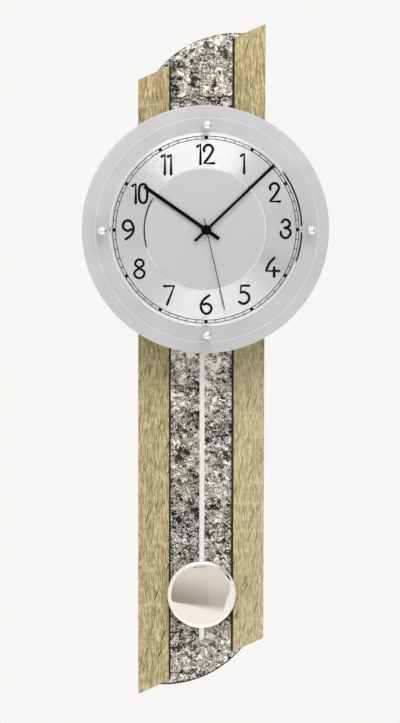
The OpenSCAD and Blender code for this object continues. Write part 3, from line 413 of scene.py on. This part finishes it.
relief_depth = 0.0022
ragged = 0.0016
# Painted shade: a strip about a millimetre wide along the lower end of the sheet is painted near black. It
# stands in for the shade on the downward-facing broken edge.
lower_edge_shade_width = 0.0011
columns = 88
rows = 640
shape = bmesh.new()
bmesh.ops.create_grid(shape, x_segments=columns, y_segments=rows, size=0.5)
lower_edge_shade_at = shape.verts.layers.float.new("sealed")
for vert in shape.verts:
    x = vert.co.x * 2 * sheet_half
    share = vert.co.y + 0.5
    top = upper_end(x) - ragged * abs(noise.fractal(Vector((x * 420, 0.0, 5.0)), 1.0, 2.0, 3))
    up = lower_end(x) + (top - lower_end(x)) * share
    height = cleft(x, up)
    vert[lower_edge_shade_at] = 1.0 if up - lower_end(x) < lower_edge_shade_width else 0.0
    vert.co = (x, sheet_face + (0.5 - height) * relief_depth, up)
rim = [edge for edge in shape.edges if edge.is_boundary]
walled = bmesh.ops.extrude_edge_only(shape, edges=rim)["geom"]
for part in walled:
    if isinstance(part, bmesh.types.BMVert):
        part.co.y = sheet_back
back_rim = [edge for edge in shape.edges if edge.is_boundary]
bmesh.ops.edgeloop_fill(shape, edges=back_rim)
bmesh.ops.recalc_face_normals(shape, faces=shape.faces)
split_stone = finished(shape, "split_stone")

stone, shader, place = finish_named("stone", {"Specular IOR Level": 0.4})
crag_stretch = (0.8, 1.0, 1.0)
crag_scale = 165.0
drift = cloudy(place, EVEN, 130.0, detail=2.0).beside("Color")
bent = place.node("VectorMath", {"operation": "MULTIPLY_ADD"}, {0: drift, 1: (0.012, 0.012, 0.012), 2: place})
# Painted light and shade: the relief noise minus the same noise a little lower and to the left paints a
# highlight on the upper side and a shadow on the lower side of each flake, as if lit from above.
below = place.node("VectorMath", {"operation": "ADD"}, {0: bent, 1: (-0.0004, 0.0, -0.0011)})
crag = cloudy(bent, crag_stretch, crag_scale, detail=2.0, rough=0.6)
painted_relief_light = crag - cloudy(below, crag_stretch, crag_scale, detail=2.0, rough=0.6)
shade = cloudy(place, (1.0, 1.0, 0.9), 45.0, detail=3.0, rough=0.6)
grain = cloudy(bent, (0.9, 1.0, 0.9), 150.0, detail=2.5, rough=0.6, warp=0.7)
flakes = cloudy(bent, (0.75, 1.0, 1.15), 420.0, detail=1.0)
ridges = cloudy(bent, (0.95, 1.0, 0.85), 140.0, detail=1.0, warp=1.2)
blots = cloudy(bent, (0.9, 1.0, 1.1), 105.0, detail=3.0, rough=0.65, warp=0.8)
busy = cloudy(place, (1.0, 1.0, 0.9), 42.0, detail=1.5).rises(0.42, 0.54)
rusty = cloudy(place, (1.0, 1.0, 0.8), 27.0, detail=2.0).beside("Color")
rusty = place.node("SeparateColor", {}, {"Color": rusty}).rises(0.5, 0.64)
stone_across = place.node("SeparateXYZ", {}, {0: place})
level = stone_across.beside("Z")
harsh = level.within(-0.33, -0.31, -0.26, -0.25)
busy = 1 - (1 - busy) * (1 - harsh)
# Painted light: the stone just below the dial is painted paler, filling in the shadow that the dial casts
# there. The lowest part of the sheet is painted paler too.
painted_light_and_pale_foot = level.rises(-0.33, -0.285) * (1 - level.rises(-0.2, -0.1) * 0.7)
painted_light_and_pale_foot = painted_light_and_pale_foot + (1 - level.rises(-0.55, -0.53)) * 0.4
deep = level.rises(-0.47, -0.45)
deep = deep * (1 - level.rises(-0.34, -0.29) * 0.5 - level.rises(-0.42, -0.4) * 0.5)
right_low = stone_across.rises(0.0, 0.006) * level.within(-0.47, -0.45, -0.38, -0.37)
tone = grain + painted_relief_light * 1.3 + (shade - 0.5) * 0.6 + (flakes - 0.5) * 0.3
tone = tone + painted_light_and_pale_foot * 0.1 - deep * 0.1 + right_low * 0.1 - 0.01
tone = (tone - 0.5) * (harsh * 0.5 + 1.0) + 0.5
broken = place.node("ValToRGB", {"stops": [
    (0.3, paint(10, 9, 8)),
    (0.4, paint(18, 17, 15)),
    (0.44, paint(92, 89, 82)),
    (0.475, paint(216, 214, 209)),
    (0.52, paint(122, 118, 110)),
    (0.58, paint(92, 89, 82)),
    (0.65, paint(176, 173, 166)),
    (0.73, paint(242, 241, 238)),
]}, {"Fac": tone})
smooth = place.node("ValToRGB", {"stops": [
    (0.28, paint(16, 15, 13)),
    (0.42, paint(74, 71, 63)),
    (0.5, paint(120, 116, 107)),
    (0.58, paint(158, 155, 147)),
    (0.72, paint(224, 222, 217)),
]}, {"Fac": tone})
colour = busy.mixes(smooth, broken)
colour = (rusty * 0.8).mixes(colour, paint(251, 241, 219), "MULTIPLY")
shards = 1 - abs(ridges - 0.5).rises(0.01, 0.028)
shards = shards + (1 - abs(ridges - 0.4).rises(0.006, 0.018)) * busy
colour = (shards * 0.8).mixes(colour, paint(234, 233, 229))
colour = (blots.rises(0.6, 0.612) * 0.95).mixes(colour, paint(14, 13, 12))
wavy = level + (cloudy(place, (1.0, 1.0, 0.2), 130.0, detail=2.0) - 0.5) * 0.01
seams = 1 - abs(abs(wavy + 0.0042) - 0.0019).rises(0.0006, 0.0014)
colour = (seams * flakes.rises(0.3, 0.5) * 0.92).mixes(colour, paint(14, 12, 10))
hollows = 1 - tone.rises(0.39, 0.45)
# Painted shade on the sheet's lower edge.
sealed = place.node("Attribute", {"attribute_name": "sealed"}, {}).beside("Fac")
colour = sealed.mixes(colour, paint(26, 25, 23))
colour.into(shader, "Base Color")
(0.85 - flakes * 0.4).into(shader, "Roughness")
bump(flakes * 0.7 - hollows * 0.6 + shards * 0.4, shader, 0.6, 0.001)
split_stone.data.materials.append(stone)
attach(split_stone, "root")
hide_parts("slate_sheet")


# Battens, hanger plate and wood screws
# Two planed softwood battens are let into the stiles' backs and screwed on with yellow zinc wood
# screws. The steel keyhole plate that the clock hangs by is screwed to the upper one.
batten_wood, shader, place = finish_named("batten_wood", {"Specular IOR Level": 0.3})
rings = cloudy(place, (0.06, 1.0, 1.0), 260.0, detail=4.0, rough=0.6, warp=0.6)
pith = cloudy(place, (0.04, 1.0, 1.0), 1100.0, detail=2.0)
colour = rings.rises(0.35, 0.65).mixes(paint(206, 172, 122), paint(170, 126, 78))
(pith.rises(0.5, 0.75) * 0.4).mixes(colour, paint(134, 94, 54)).into(shader, "Base Color")
(rings * 0.15 + 0.6).into(shader, "Roughness")
bump(rings - pith * 0.4, shader, 0.4, 0.0002)
dress(batten_wood, "upper_batten", "lower_batten")


def plated(name, light, dark, roughness, *names):
    """A plated metal, with the cloudy sheen and fine pits of a zinc or nickel bath."""
    material, shader, place = finish_named(name, {"Metallic": 1.0})
    bloom = cloudy(place, EVEN, 420.0, detail=4.0)
    bloom.rises(0.35, 0.65).mixes(dark, light).into(shader, "Base Color")
    (bloom * 0.2 + (roughness - 0.1)).into(shader, "Roughness")
    bump(cloudy(place, EVEN, 2600.0, detail=2.0), shader, 0.15, 0.00005)
    dress(material, *names)


plated("zinc_yellow_screw", paint(226, 194, 112), paint(196, 158, 84), 0.35, "batten_screws")
plated("zinc_steel", paint(206, 210, 214), paint(176, 181, 186), 0.34, "hanger_plate", "hanger_screws",
       "spacer_foot_screws", "dial_screws", "movement_screws", "glass_nuts", "glass_studs")


# Dial posts
# Four posts turned from aluminium bar carry the dial plate in front of the stiles. The cutting tool
# leaves fine rings round them, and a screw holds each end.
spacer_aluminium, shader, place = finish_named("spacer_aluminium", {"Metallic": 1.0})
cut_rings = cloudy(place, (0.0, 1.0, 0.0), 5200.0, detail=2.0)
cut_rings.mixes(paint(196, 198, 200), paint(222, 223, 224)).into(shader, "Base Color")
(cut_rings * 0.15 + 0.25).into(shader, "Roughness")
bump(cut_rings, shader, 0.35, 0.00005)
dress(spacer_aluminium, "dial_spacers")


# Dial plate
# A large disc of aluminium sheet, 3 mm thick with a soft edge, is blasted to a fine matt silver and
# lacquered. It is screwed to the four posts.
dial_plate, shader, place = finish_named("dial_aluminium", {
    "Metallic": 0.6, "Coat Roughness": 0.35, "Coat IOR": 1.4, "Coat Weight": 0.15,
})
blast = cloudy(place, EVEN, 1500.0, detail=3.0, rough=0.7)
haze = cloudy(place, EVEN, 26.0, detail=2.0)
colour = haze.rises(0.3, 0.7).mixes(paint(191, 192, 197), paint(198, 199, 204))
(blast.rises(0.4, 0.7) * 0.25).mixes(colour, paint(178, 179, 184)).into(shader, "Base Color")
(blast * 0.14 + 0.4).into(shader, "Roughness")
bump(blast, shader, 0.2, 0.00005)
dress(dial_plate, "dial_plate")


# Chapter disc
# A thinner aluminium disc lies on the dial plate. Its ring is spun against an abrasive, so that it
# shows bright fans, its bevelled edges are cut bright and its sunk middle is matt.
dial_centre = Vector((0.0, 0.0, -0.1335))
disc_low, disc_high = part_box("chapter_disc")
disc_radius = (disc_high.x - disc_low.x) / 2
disc_front = disc_low.y
bevel_inner = disc_radius - 0.0018
recess_inner = 0.0597
recess_radius = 0.0612
recess_shift = 0.0010
cut_blur = 0.0001
groove_count = 100000.0
groove_tilt = 0.95
bevel_tilt = 0.667
recess_tilt = 0.44
recess_tilt_low = 0.2


def from_dial_middle(place):
    """The way from the dial's middle to a place, seen from the front, and its length."""
    centred = place.node("VectorMath", {"operation": "SUBTRACT"}, {0: place, 1: dial_centre})
    flat = place.node("VectorMath", {"operation": "MULTIPLY"}, {0: centred, 1: (1.0, 0.0, 1.0)})
    return flat, place.node("VectorMath", {"operation": "LENGTH"}, {0: flat}, "Value")


chapter_aluminium, shader, place = finish_named("chapter_aluminium", {})
flat, radius = from_dial_middle(place)
outward = place.node("VectorMath", {"operation": "NORMALIZE"}, {0: flat})
shifted = place.node("VectorMath", {"operation": "ADD"}, {0: flat, 1: (recess_shift, 0.0, 0.0)})
inner_radius = place.node("VectorMath", {"operation": "LENGTH"}, {0: shifted}, "Value")
outer_cut = radius.rises(bevel_inner - cut_blur, bevel_inner)
past_recess = inner_radius.rises(recess_radius, recess_radius + cut_blur)
inner_cut = inner_radius.rises(recess_inner - cut_blur, recess_inner) * (1 - past_recess)
cut = outer_cut + inner_cut
ring = past_recess * (1 - outer_cut)
groove = place.node("TexWhiteNoise", {"noise_dimensions": "1D"}, {"W": radius * groove_count})
outward_x = place.node("SeparateXYZ", {}, {0: outward})
low_part = 1 - outward_x.beside("Z").rises(-0.85, -0.6)
tilt = (groove - 0.5) * groove_tilt * ring + outer_cut * bevel_tilt
tilt = tilt - inner_cut * (recess_tilt - low_part * (recess_tilt - recess_tilt_low))
faced = place.node("NewGeometry", {}, {}).beside("True Normal")
front = 1 - place.node("SeparateXYZ", {}, {0: faced}).beside("Y").rises(-0.6, -0.5)
to_flat = place.node("VectorMath", {"operation": "SUBTRACT"}, {0: (0.0, -1.0, 0.0), 1: faced})
to_flat = place.node("VectorMath", {"operation": "SCALE"}, {0: to_flat, "Scale": front})
leaning = place.node("VectorMath", {"operation": "SCALE"}, {0: outward, "Scale": tilt * front})
brushed = place.node("VectorMath", {"operation": "ADD"}, {0: to_flat, 1: leaning})
brushed = place.node("VectorMath", {"operation": "ADD"}, {0: brushed, 1: faced})
place.node("VectorMath", {"operation": "NORMALIZE"}, {0: brushed}).into(shader, "Normal")
lathe = place.node("TexNoise", {"noise_dimensions": "1D"}, {"W": radius * 700.0, "Detail": 4.0})
colour = ring.mixes(paint(194, 195, 198), lathe.mixes(paint(209, 211, 216), paint(224, 226, 231)))
cut.mixes(colour, paint(232, 233, 236)).into(shader, "Base Color")
(ring * 0.2 + cut * 0.4 + 0.6).into(shader, "Metallic")
sideways = abs(outward_x).rises(0.45, 0.7)
(0.5 - ring * 0.33 - cut * (sideways * 0.26 + 0.14)).into(shader, "Roughness")
dress(chapter_aluminium, "chapter_disc")


# Minute track and numerals
# They are screen-printed in black on the chapter ring: two fine lines with a tick for each minute
# and a block for every fifth, and slender numerals drawn with one even stroke.
print_rise = 0.00006
outer_line = 0.0926
inner_line = 0.0898
line_width = 0.0007
tick_width = 0.0008
block_width = 0.0034
shape = bmesh.new()
for line_radius in (outer_line, inner_line):
    corners = [shape.verts.new((line_radius + side * line_width / 2, rise, 0.0))
               for side, rise in ((-1, 0.0), (-1, -print_rise), (1, -print_rise), (1, 0.0))]
    profile = [shape.edges.new(pair) for pair in zip(corners, corners[1:])]
    bmesh.ops.spin(shape, geom=corners + profile, cent=(0.0, 0.0, 0.0), axis=(0.0, 1.0, 0.0),
                   angle=2 * math.pi, steps=240, use_merge=True)
for minute in range(60):
    fifth = minute % 5 == 0
    width = block_width if fifth else tick_width
    reach = outer_line - inner_line + line_width
    turn = Matrix.Rotation(math.radians(6 * minute), 4, "Y")
    place_at = Matrix.Translation((0.0, -print_rise / 2, (outer_line + inner_line) / 2))
    size = Matrix.Diagonal((width, print_rise * 0.96, reach, 1.0))
    bmesh.ops.create_cube(shape, size=1.0, matrix=turn @ place_at @ size)
bmesh.ops.translate(shape, verts=shape.verts, vec=dial_centre + Vector((0.0, disc_front, 0.0)))
bmesh.ops.recalc_face_normals(shape, faces=shape.faces)
minute_track = finished(shape, "minute_track")

# Each stroke is a list of points in millimetres from the numeral's middle: x, up, and whether
# the stroke turns a corner there.
SMOOTH, CORNER = "AUTO", "VECTOR"
STROKES = {
    "0": [[(0.0, 9.3, SMOOTH), (-4.1, 0.0, SMOOTH), (0.0, -9.3, SMOOTH), (4.1, 0.0, SMOOTH)]],
    "1": [[(-2.6, 7.6, CORNER), (0.5, 9.3, CORNER), (0.5, -9.5, CORNER)]],
    "2": [[(-4.6, 3.1, SMOOTH), (-5.0, 5.7, SMOOTH), (-0.6, 9.2, SMOOTH), (3.9, 5.4, SMOOTH),
           (2.6, 1.5, SMOOTH), (-4.8, -8.9, CORNER), (5.0, -8.9, CORNER)]],
    "3": [[(-3.9, 6.3, SMOOTH), (-0.2, 8.9, SMOOTH), (4.0, 5.0, SMOOTH), (2.2, 1.6, SMOOTH),
           (-1.0, 0.6, CORNER)],
          [(-1.0, 0.6, CORNER), (2.8, -0.6, SMOOTH), (4.8, -4.3, SMOOTH), (-0.2, -9.4, SMOOTH),
           (-4.6, -6.2, SMOOTH), (-4.9, -3.5, SMOOTH)]],
    "4": [[(2.0, 9.4, SMOOTH), (-2.8, 4.4, SMOOTH), (-6.3, -3.6, CORNER), (6.8, -3.6, CORNER)],
          [(1.8, -0.2, CORNER), (1.8, -9.4, CORNER)]],
    "5": [[(4.6, 8.7, CORNER), (-3.3, 8.7, CORNER), (-4.0, 1.7, CORNER), (-0.2, 2.4, SMOOTH),
           (4.7, -3.4, SMOOTH), (-0.4, -9.3, SMOOTH), (-5.4, -7.4, SMOOTH)]],
    "6": [[(3.1, 9.1, SMOOTH), (-2.8, 4.3, SMOOTH), (-5.2, -2.2, SMOOTH), (0.2, -9.1, SMOOTH),
           (5.3, -3.9, SMOOTH), (1.3, 0.8, SMOOTH), (-2.4, 0.1, SMOOTH)]],
    "7": [[(-5.4, 8.7, CORNER), (4.5, 8.7, CORNER), (-2.4, -9.4, CORNER)]],
    "8": [[(0.2, 9.5, SMOOTH), (-3.9, 5.4, SMOOTH), (0.2, 0.9, SMOOTH), (5.2, -4.0, SMOOTH),
           (0.2, -9.0, SMOOTH), (-4.8, -4.0, SMOOTH), (0.2, 0.9, SMOOTH), (4.3, 5.4, SMOOTH)]],
    "9": [[(2.8, 0.6, SMOOTH), (-0.6, -0.9, SMOOTH), (-5.2, 4.2, SMOOTH), (-0.4, 9.3, SMOOTH),
           (5.0, 3.6, SMOOTH), (3.6, -4.0, SMOOTH), (-2.4, -9.3, SMOOTH)]],
}
CLOSED = ("0", "8")
DIAL_FIGURES = [
    ("1", -6.3, 74.7), ("2", 2.7, 74.7), ("1", 37.2, 65.6), ("2", 68.5, 36.8), ("3", 79.4, 1.1),
    ("4", 66.2, -37.5), ("5", 38.4, -64.3), ("6", 0.1, -74.3), ("7", -36.2, -64.4), ("8", -66.4, -38.7),
    ("9", -77.3, 0.1), ("1", -70.3, 36.0), ("0", -62.5, 36.0), ("1", -41.5, 64.7), ("1", -35.4, 64.7),
]
# The ones are drawn with a broader stroke than the rest, and the eight with a finer one.
stroke_width = 2.75
STROKE_WIDTHS = {"1": 3.0, "8": 2.5}
shape = bmesh.new()
for figure, right, up in DIAL_FIGURES:
    pen = bpy.data.curves.new("pen", "CURVE")
    pen.dimensions = "3D"
    width = STROKE_WIDTHS.get(figure, stroke_width)
    pen.bevel_depth = width / 2
    pen.bevel_resolution = 3
    pen.resolution_u = 10
    pen.use_fill_caps = True
    for stroke in STROKES[figure]:
        spline = pen.splines.new("BEZIER")
        spline.bezier_points.add(len(stroke) - 1)
        spline.use_cyclic_u = figure in CLOSED
        for point, (x, z, kind) in zip(spline.bezier_points, stroke):
            point.co = (right + x, 0.0, up + z)
            point.handle_left_type = kind
            point.handle_right_type = kind
        if figure not in CLOSED:
            for x, z, kind in (stroke[0], stroke[-1]):
                bmesh.ops.create_uvsphere(shape, u_segments=10, v_segments=6, radius=width / 2,
                                          matrix=Matrix.Translation((right + x, 0.0, up + z)))
    drawn = bpy.data.objects.new("pen", pen)
    shape.from_mesh(bpy.data.meshes.new_from_object(drawn))
    bpy.data.objects.remove(drawn)
    bpy.data.curves.remove(pen)
MILLIMETRE = 0.001
bmesh.ops.scale(shape, verts=shape.verts, vec=(MILLIMETRE, print_rise / stroke_width, MILLIMETRE))
bmesh.ops.translate(shape, verts=shape.verts, vec=dial_centre + Vector((0.0, disc_front, 0.0)))
bmesh.ops.recalc_face_normals(shape, faces=shape.faces)
numerals = finished(shape, "numerals")

print_ink, shader, place = finish_named("print_ink", {"Specular IOR Level": 0.05})
film = cloudy(place, EVEN, 1800.0)
film.mixes(paint(3, 3, 3), paint(12, 12, 12)).into(shader, "Base Color")
(film * 0.2 + 0.5).into(shader, "Roughness")
for printed in (minute_track, numerals):
    printed.data.materials.append(print_ink)
    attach(printed, "root")


# Movement case
# The black case is moulded with a fine spark-eroded grain and closed by a cover at the back. Its
# two ears are screwed to the dial plate, with a rubber washer round the hand shaft between them.
def moulded(name, light, dark, roughness, *names):
    """A moulded plastic with a fine grain from the tool."""
    material, shader, place = finish_named(name, {"Specular IOR Level": 0.4})
    shade = cloudy(place, EVEN, 160.0, detail=2.0)
    shade.mixes(dark, light).into(shader, "Base Color")
    grain = cloudy(place, EVEN, 2800.0, detail=3.0, rough=0.6)
    (grain * 0.24 + (roughness - 0.12)).into(shader, "Roughness")
    bump(grain, shader, 0.3, 0.00006)
    dress(material, *names)


moulded("case_plastic", paint(44, 45, 47), paint(34, 35, 37), 0.5, "movement_case", "movement_cover")
moulded("rubber", paint(34, 34, 34), paint(24, 24, 24), 0.8, "rubber_washer")
moulded("button_plastic", paint(146, 148, 150), paint(132, 134, 136), 0.4, "reset_button", "signal_button")


# Wheel train and motors
# Natural acetal wheels turn between the case and the train bridge. Each of the two motors has a
# magnet rotor in a punched iron stator, with a coil of enamelled copper wire.
moulded("natural_acetal", paint(238, 234, 220), paint(228, 223, 206), 0.42, "train_bridge", "seconds_wheel",
        "seconds_idler", "minute_wheel", "minute_idler", "motion_wheel", "hour_wheel", "drive_lever")
plated("rotor_magnet", paint(92, 93, 97), paint(70, 71, 74), 0.45, "seconds_rotor", "minute_rotor",
       "lever_magnet")
plated("stator_iron", paint(164, 167, 172), paint(140, 143, 148), 0.4, "seconds_stator", "minute_stator")


wire_phase = 15000.0


def wound(name, along, *names):
    """Enamelled copper wire, wound turn beside turn round one axis, with a painted highlight along each turn
    and painted shade between the turns.
    """
    material, shader, place = finish_named(name, {"Metallic": 0.9, "Roughness": 0.32})
    lane = place.node("SeparateXYZ", {}, {0: place}).beside(along)
    painted_turn_shading = (lane * wire_phase).sine() * 0.5 + 0.5
    dull = cloudy(place, EVEN, 600.0)
    # Painted highlight and shade: the bright and dark copper bands stand in for light on each round turn and
    # shade in the creases between turns.
    colour = painted_turn_shading.mixes(paint(112, 52, 24), paint(208, 122, 66))
    (dull * 0.4).mixes(colour, paint(150, 82, 42)).into(shader, "Base Color")
    bump(painted_turn_shading, shader, 0.6, 0.0001)
    dress(material, *names)


wound("motor_winding", "Z", "seconds_coil", "minute_coil")
wound("aerial_winding", "X", "aerial_coil")
wound("drive_winding", "Y", "drive_coil")


# Receiver board and aerial
# A green laminate board holds the receiver, a crystal in a drawn metal can and the two switches.
# The dark ferrite aerial rod lies in ribs below the wheels.
board_laminate, shader, place = finish_named("board_laminate", {"Roughness": 0.35})
weave = place.node("TexChecker", {}, {"Vector": place, "Scale": 2400.0}, "Fac")
weave = weave * 0.3 + cloudy(place, EVEN, 300.0) * 0.7
weave.mixes(paint(28, 84, 46), paint(46, 116, 66)).into(shader, "Base Color")
bump(weave, shader, 0.15, 0.00005)
dress(board_laminate, "circuit_board")
plated("crystal_can", paint(212, 214, 216), paint(186, 189, 192), 0.28, "quartz_crystal")
moulded("ferrite", paint(66, 66, 70), paint(48, 48, 52), 0.6, "aerial_rod")


# Battery and contacts
# One round cell lies across the case between two spring contacts of nickel-plated sheet. Its steel
# can has a plain printed jacket that stops short of both ends.
battery_jacket, shader, place = finish_named("battery_jacket", {"Coat Weight": 0.4, "Coat Roughness": 0.12})
cell_low, cell_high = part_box("battery")
along_cell = place.node("SeparateXYZ", {}, {0: place})
jacket_half = (cell_high.x - cell_low.x) / 2 - 0.0014
bare = abs(along_cell).rises(jacket_half - 0.0001, jacket_half + 0.0001)
band = along_cell.rises(0.0128, 0.0130) * (1 - bare)
scuff = cloudy(place, EVEN, 380.0, detail=4.0)
jacket = scuff.mixes(paint(40, 78, 138), paint(52, 94, 156))
jacket = band.mixes(jacket, paint(196, 152, 74))
bare.mixes(jacket, paint(200, 202, 205)).into(shader, "Base Color")
(bare * 0.8 + 0.15).into(shader, "Metallic")
(scuff * 0.2 + 0.22).into(shader, "Roughness")
dress(battery_jacket, "battery")
plated("contact_sheet", paint(214, 215, 214), paint(190, 191, 190), 0.25, "plus_contact", "minus_contact")


# Hands
# They are stamped from thin aluminium sheet with square ends and lacquered a silky black. Each is
# pressed on its pipe, and the second hand sits on its arbor in front of them.
black_hand, shader, place = finish_named("black_hand", {"Specular IOR Level": 0.04})
lacquer = cloudy(place, EVEN, 700.0, detail=3.0)
lacquer.mixes(paint(2, 2, 2), paint(9, 9, 9)).into(shader, "Base Color")
(lacquer * 0.16 + 0.36).into(shader, "Roughness")
bump(lacquer, shader, 0.08, 0.00005)
dress(black_hand, "hour_hand", "minute_hand", "second_hand")


# Glass and its fixings
# A disc of clear float glass with ground edges stands on four plated sleeves in front of the dial.
# A chrome knob on a clear washer holds it at each quarter.
glass_low, glass_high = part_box("glass_disc")
glass_radius = (glass_high.x - glass_low.x) / 2
clear_glass = bpy.data.materials.new("clear_glass")
clear_glass.use_nodes = True
tree = clear_glass.node_tree
tree.nodes.remove(tree.nodes["Principled BSDF"])
place = Wire(tree.nodes.new("ShaderNodeTexCoord").outputs["Object"])
radius = from_dial_middle(place)[1]
see_through = place.node("BsdfTransparent", {}, {"Color": (0.99, 0.993, 0.991, 1.0)})
mirror = place.node("BsdfGlossy", {}, {"Color": (1.0, 1.0, 1.0, 1.0), "Roughness": 0.02})
outer_side = 1 - place.node("NewGeometry", {}, {}).beside("Backfacing")
shine = (place.node("Fresnel", {}, {"IOR": 1.45}) - 0.032) * outer_side
pane = place.node("MixShader", {}, {0: shine, 1: see_through, 2: mirror})
frost = cloudy(place, EVEN, 1500.0)
edge = place.node("BsdfPrincipled", {}, {
    "Base Color": frost.mixes(paint(214, 224, 220), paint(240, 246, 243)),
    "Roughness": frost * 0.2 + 0.3,
    "Alpha": 0.14,
})
ground_edge = radius.rises(glass_radius - 0.0008, glass_radius - 0.0005)
place.node("MixShader", {}, {0: ground_edge, 1: pane, 2: edge}).into(tree.nodes["Material Output"], "Surface")
dress(clear_glass, "glass_disc")
plated("sleeve_metal", paint(218, 220, 222), paint(200, 202, 205), 0.2, "glass_sleeves")

clear_plastic, shader, place = finish_named("clear_plastic", {"Roughness": 0.2})
milky = cloudy(place, EVEN, 500.0)
milky.mixes(paint(232, 235, 235), paint(244, 246, 246)).into(shader, "Base Color")
(milky * 0.2 + 0.45).into(shader, "Alpha")
dress(clear_plastic, "glass_washers")

chrome, shader, place = finish_named("chrome", {"Metallic": 1.0})
polish = cloudy(place, EVEN, 900.0, detail=2.0)
polish.mixes(paint(236, 237, 239), paint(244, 245, 247)).into(shader, "Base Color")
(polish * 0.06 + 0.02).into(shader, "Roughness")
dress(chrome, "glass_knobs")


# Pendulum
# A flat nickel-plated rod hangs on the peg of the drive lever, whose steel pin sits in the case
# cover. The bob is spun from sheet, polished and lacquered, and a spring clip holds it on the rod.
plated("steel_pin", paint(208, 209, 212), paint(186, 188, 191), 0.25, "lever_pivot")
plated("clip_steel", paint(178, 180, 184), paint(156, 158, 162), 0.35, "bob_clip")

rod_steel, shader, place = finish_named("rod_steel", {"Metallic": 0.75})
drawn_line = cloudy(place, (1.0, 1.0, 0.01), 5200.0, detail=2.0)
drawn_line.mixes(paint(232, 232, 233), paint(246, 246, 247)).into(shader, "Base Color")
(drawn_line * 0.16 + 0.36).into(shader, "Roughness")
bump(drawn_line, shader, 0.15, 0.00003)
dress(rod_steel, "pendulum_rod")

bob_low, bob_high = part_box("pendulum_bob")
bob_middle = (bob_low + bob_high) / 2
bob_radius = (bob_high.x - bob_low.x) / 2
face_radius = 0.164
edge_radius = 0.006
edge_end = math.radians(60.0)
sheet_thick = 0.001
edge_x = bob_radius - edge_radius * math.sin(edge_end)
edge_y = bob_high.y + edge_radius * math.cos(edge_end)
face_y = bob_low.y + face_radius
edge_start = math.asin(edge_x / (face_radius - edge_radius))


def bob_profile(skin):
    """One side of the spun sheet, from the middle of the face to the rim at the back."""
    face = face_radius - skin
    edge = edge_radius - skin
    painted_turn_shading = [edge_start * step / 12 for step in range(12)]
    side = [(face * math.sin(turn), face_y - face * math.cos(turn)) for turn in painted_turn_shading]
    stop = math.acos((bob_high.y - edge_y) / -edge)
    painted_turn_shading = [edge_start + (stop - edge_start) * step / 14 for step in range(15)]
    return side + [(edge_x + edge * math.sin(turn), edge_y - edge * math.cos(turn)) for turn in painted_turn_shading]


shape = bmesh.new()
outline = bob_profile(0.0) + list(reversed(bob_profile(sheet_thick)))
corners = [shape.verts.new((x, y, 0.0)) for x, y in outline]
profile = [shape.edges.new(pair) for pair in zip(corners, corners[1:])]
bmesh.ops.spin(shape, geom=corners + profile, cent=(0.0, 0.0, 0.0), axis=(0.0, 1.0, 0.0),
               angle=2 * math.pi, steps=160, use_merge=True)
bmesh.ops.remove_doubles(shape, verts=shape.verts, dist=0.000001)
bmesh.ops.translate(shape, verts=shape.verts, vec=(bob_middle.x, 0.0, bob_middle.z))
bmesh.ops.recalc_face_normals(shape, faces=shape.faces)
for face in shape.faces:
    face.smooth = True
for edge in shape.edges:
    edge.smooth = edge.calc_face_angle(0.0) < math.radians(35.0)
spun_bob = finished(shape, "spun_bob")

polished_bob, shader, place = finish_named("polished_bob", {"Metallic": 1.0})
wipe = cloudy(place, EVEN, 240.0, detail=3.0)
wipe.mixes(paint(246, 244, 240), paint(250, 249, 246)).into(shader, "Base Color")
(wipe * 0.04 + 0.01).into(shader, "Roughness")
spun_bob.data.materials.append(polished_bob)
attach(spun_bob, "pendulum")
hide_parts("pendulum_bob")
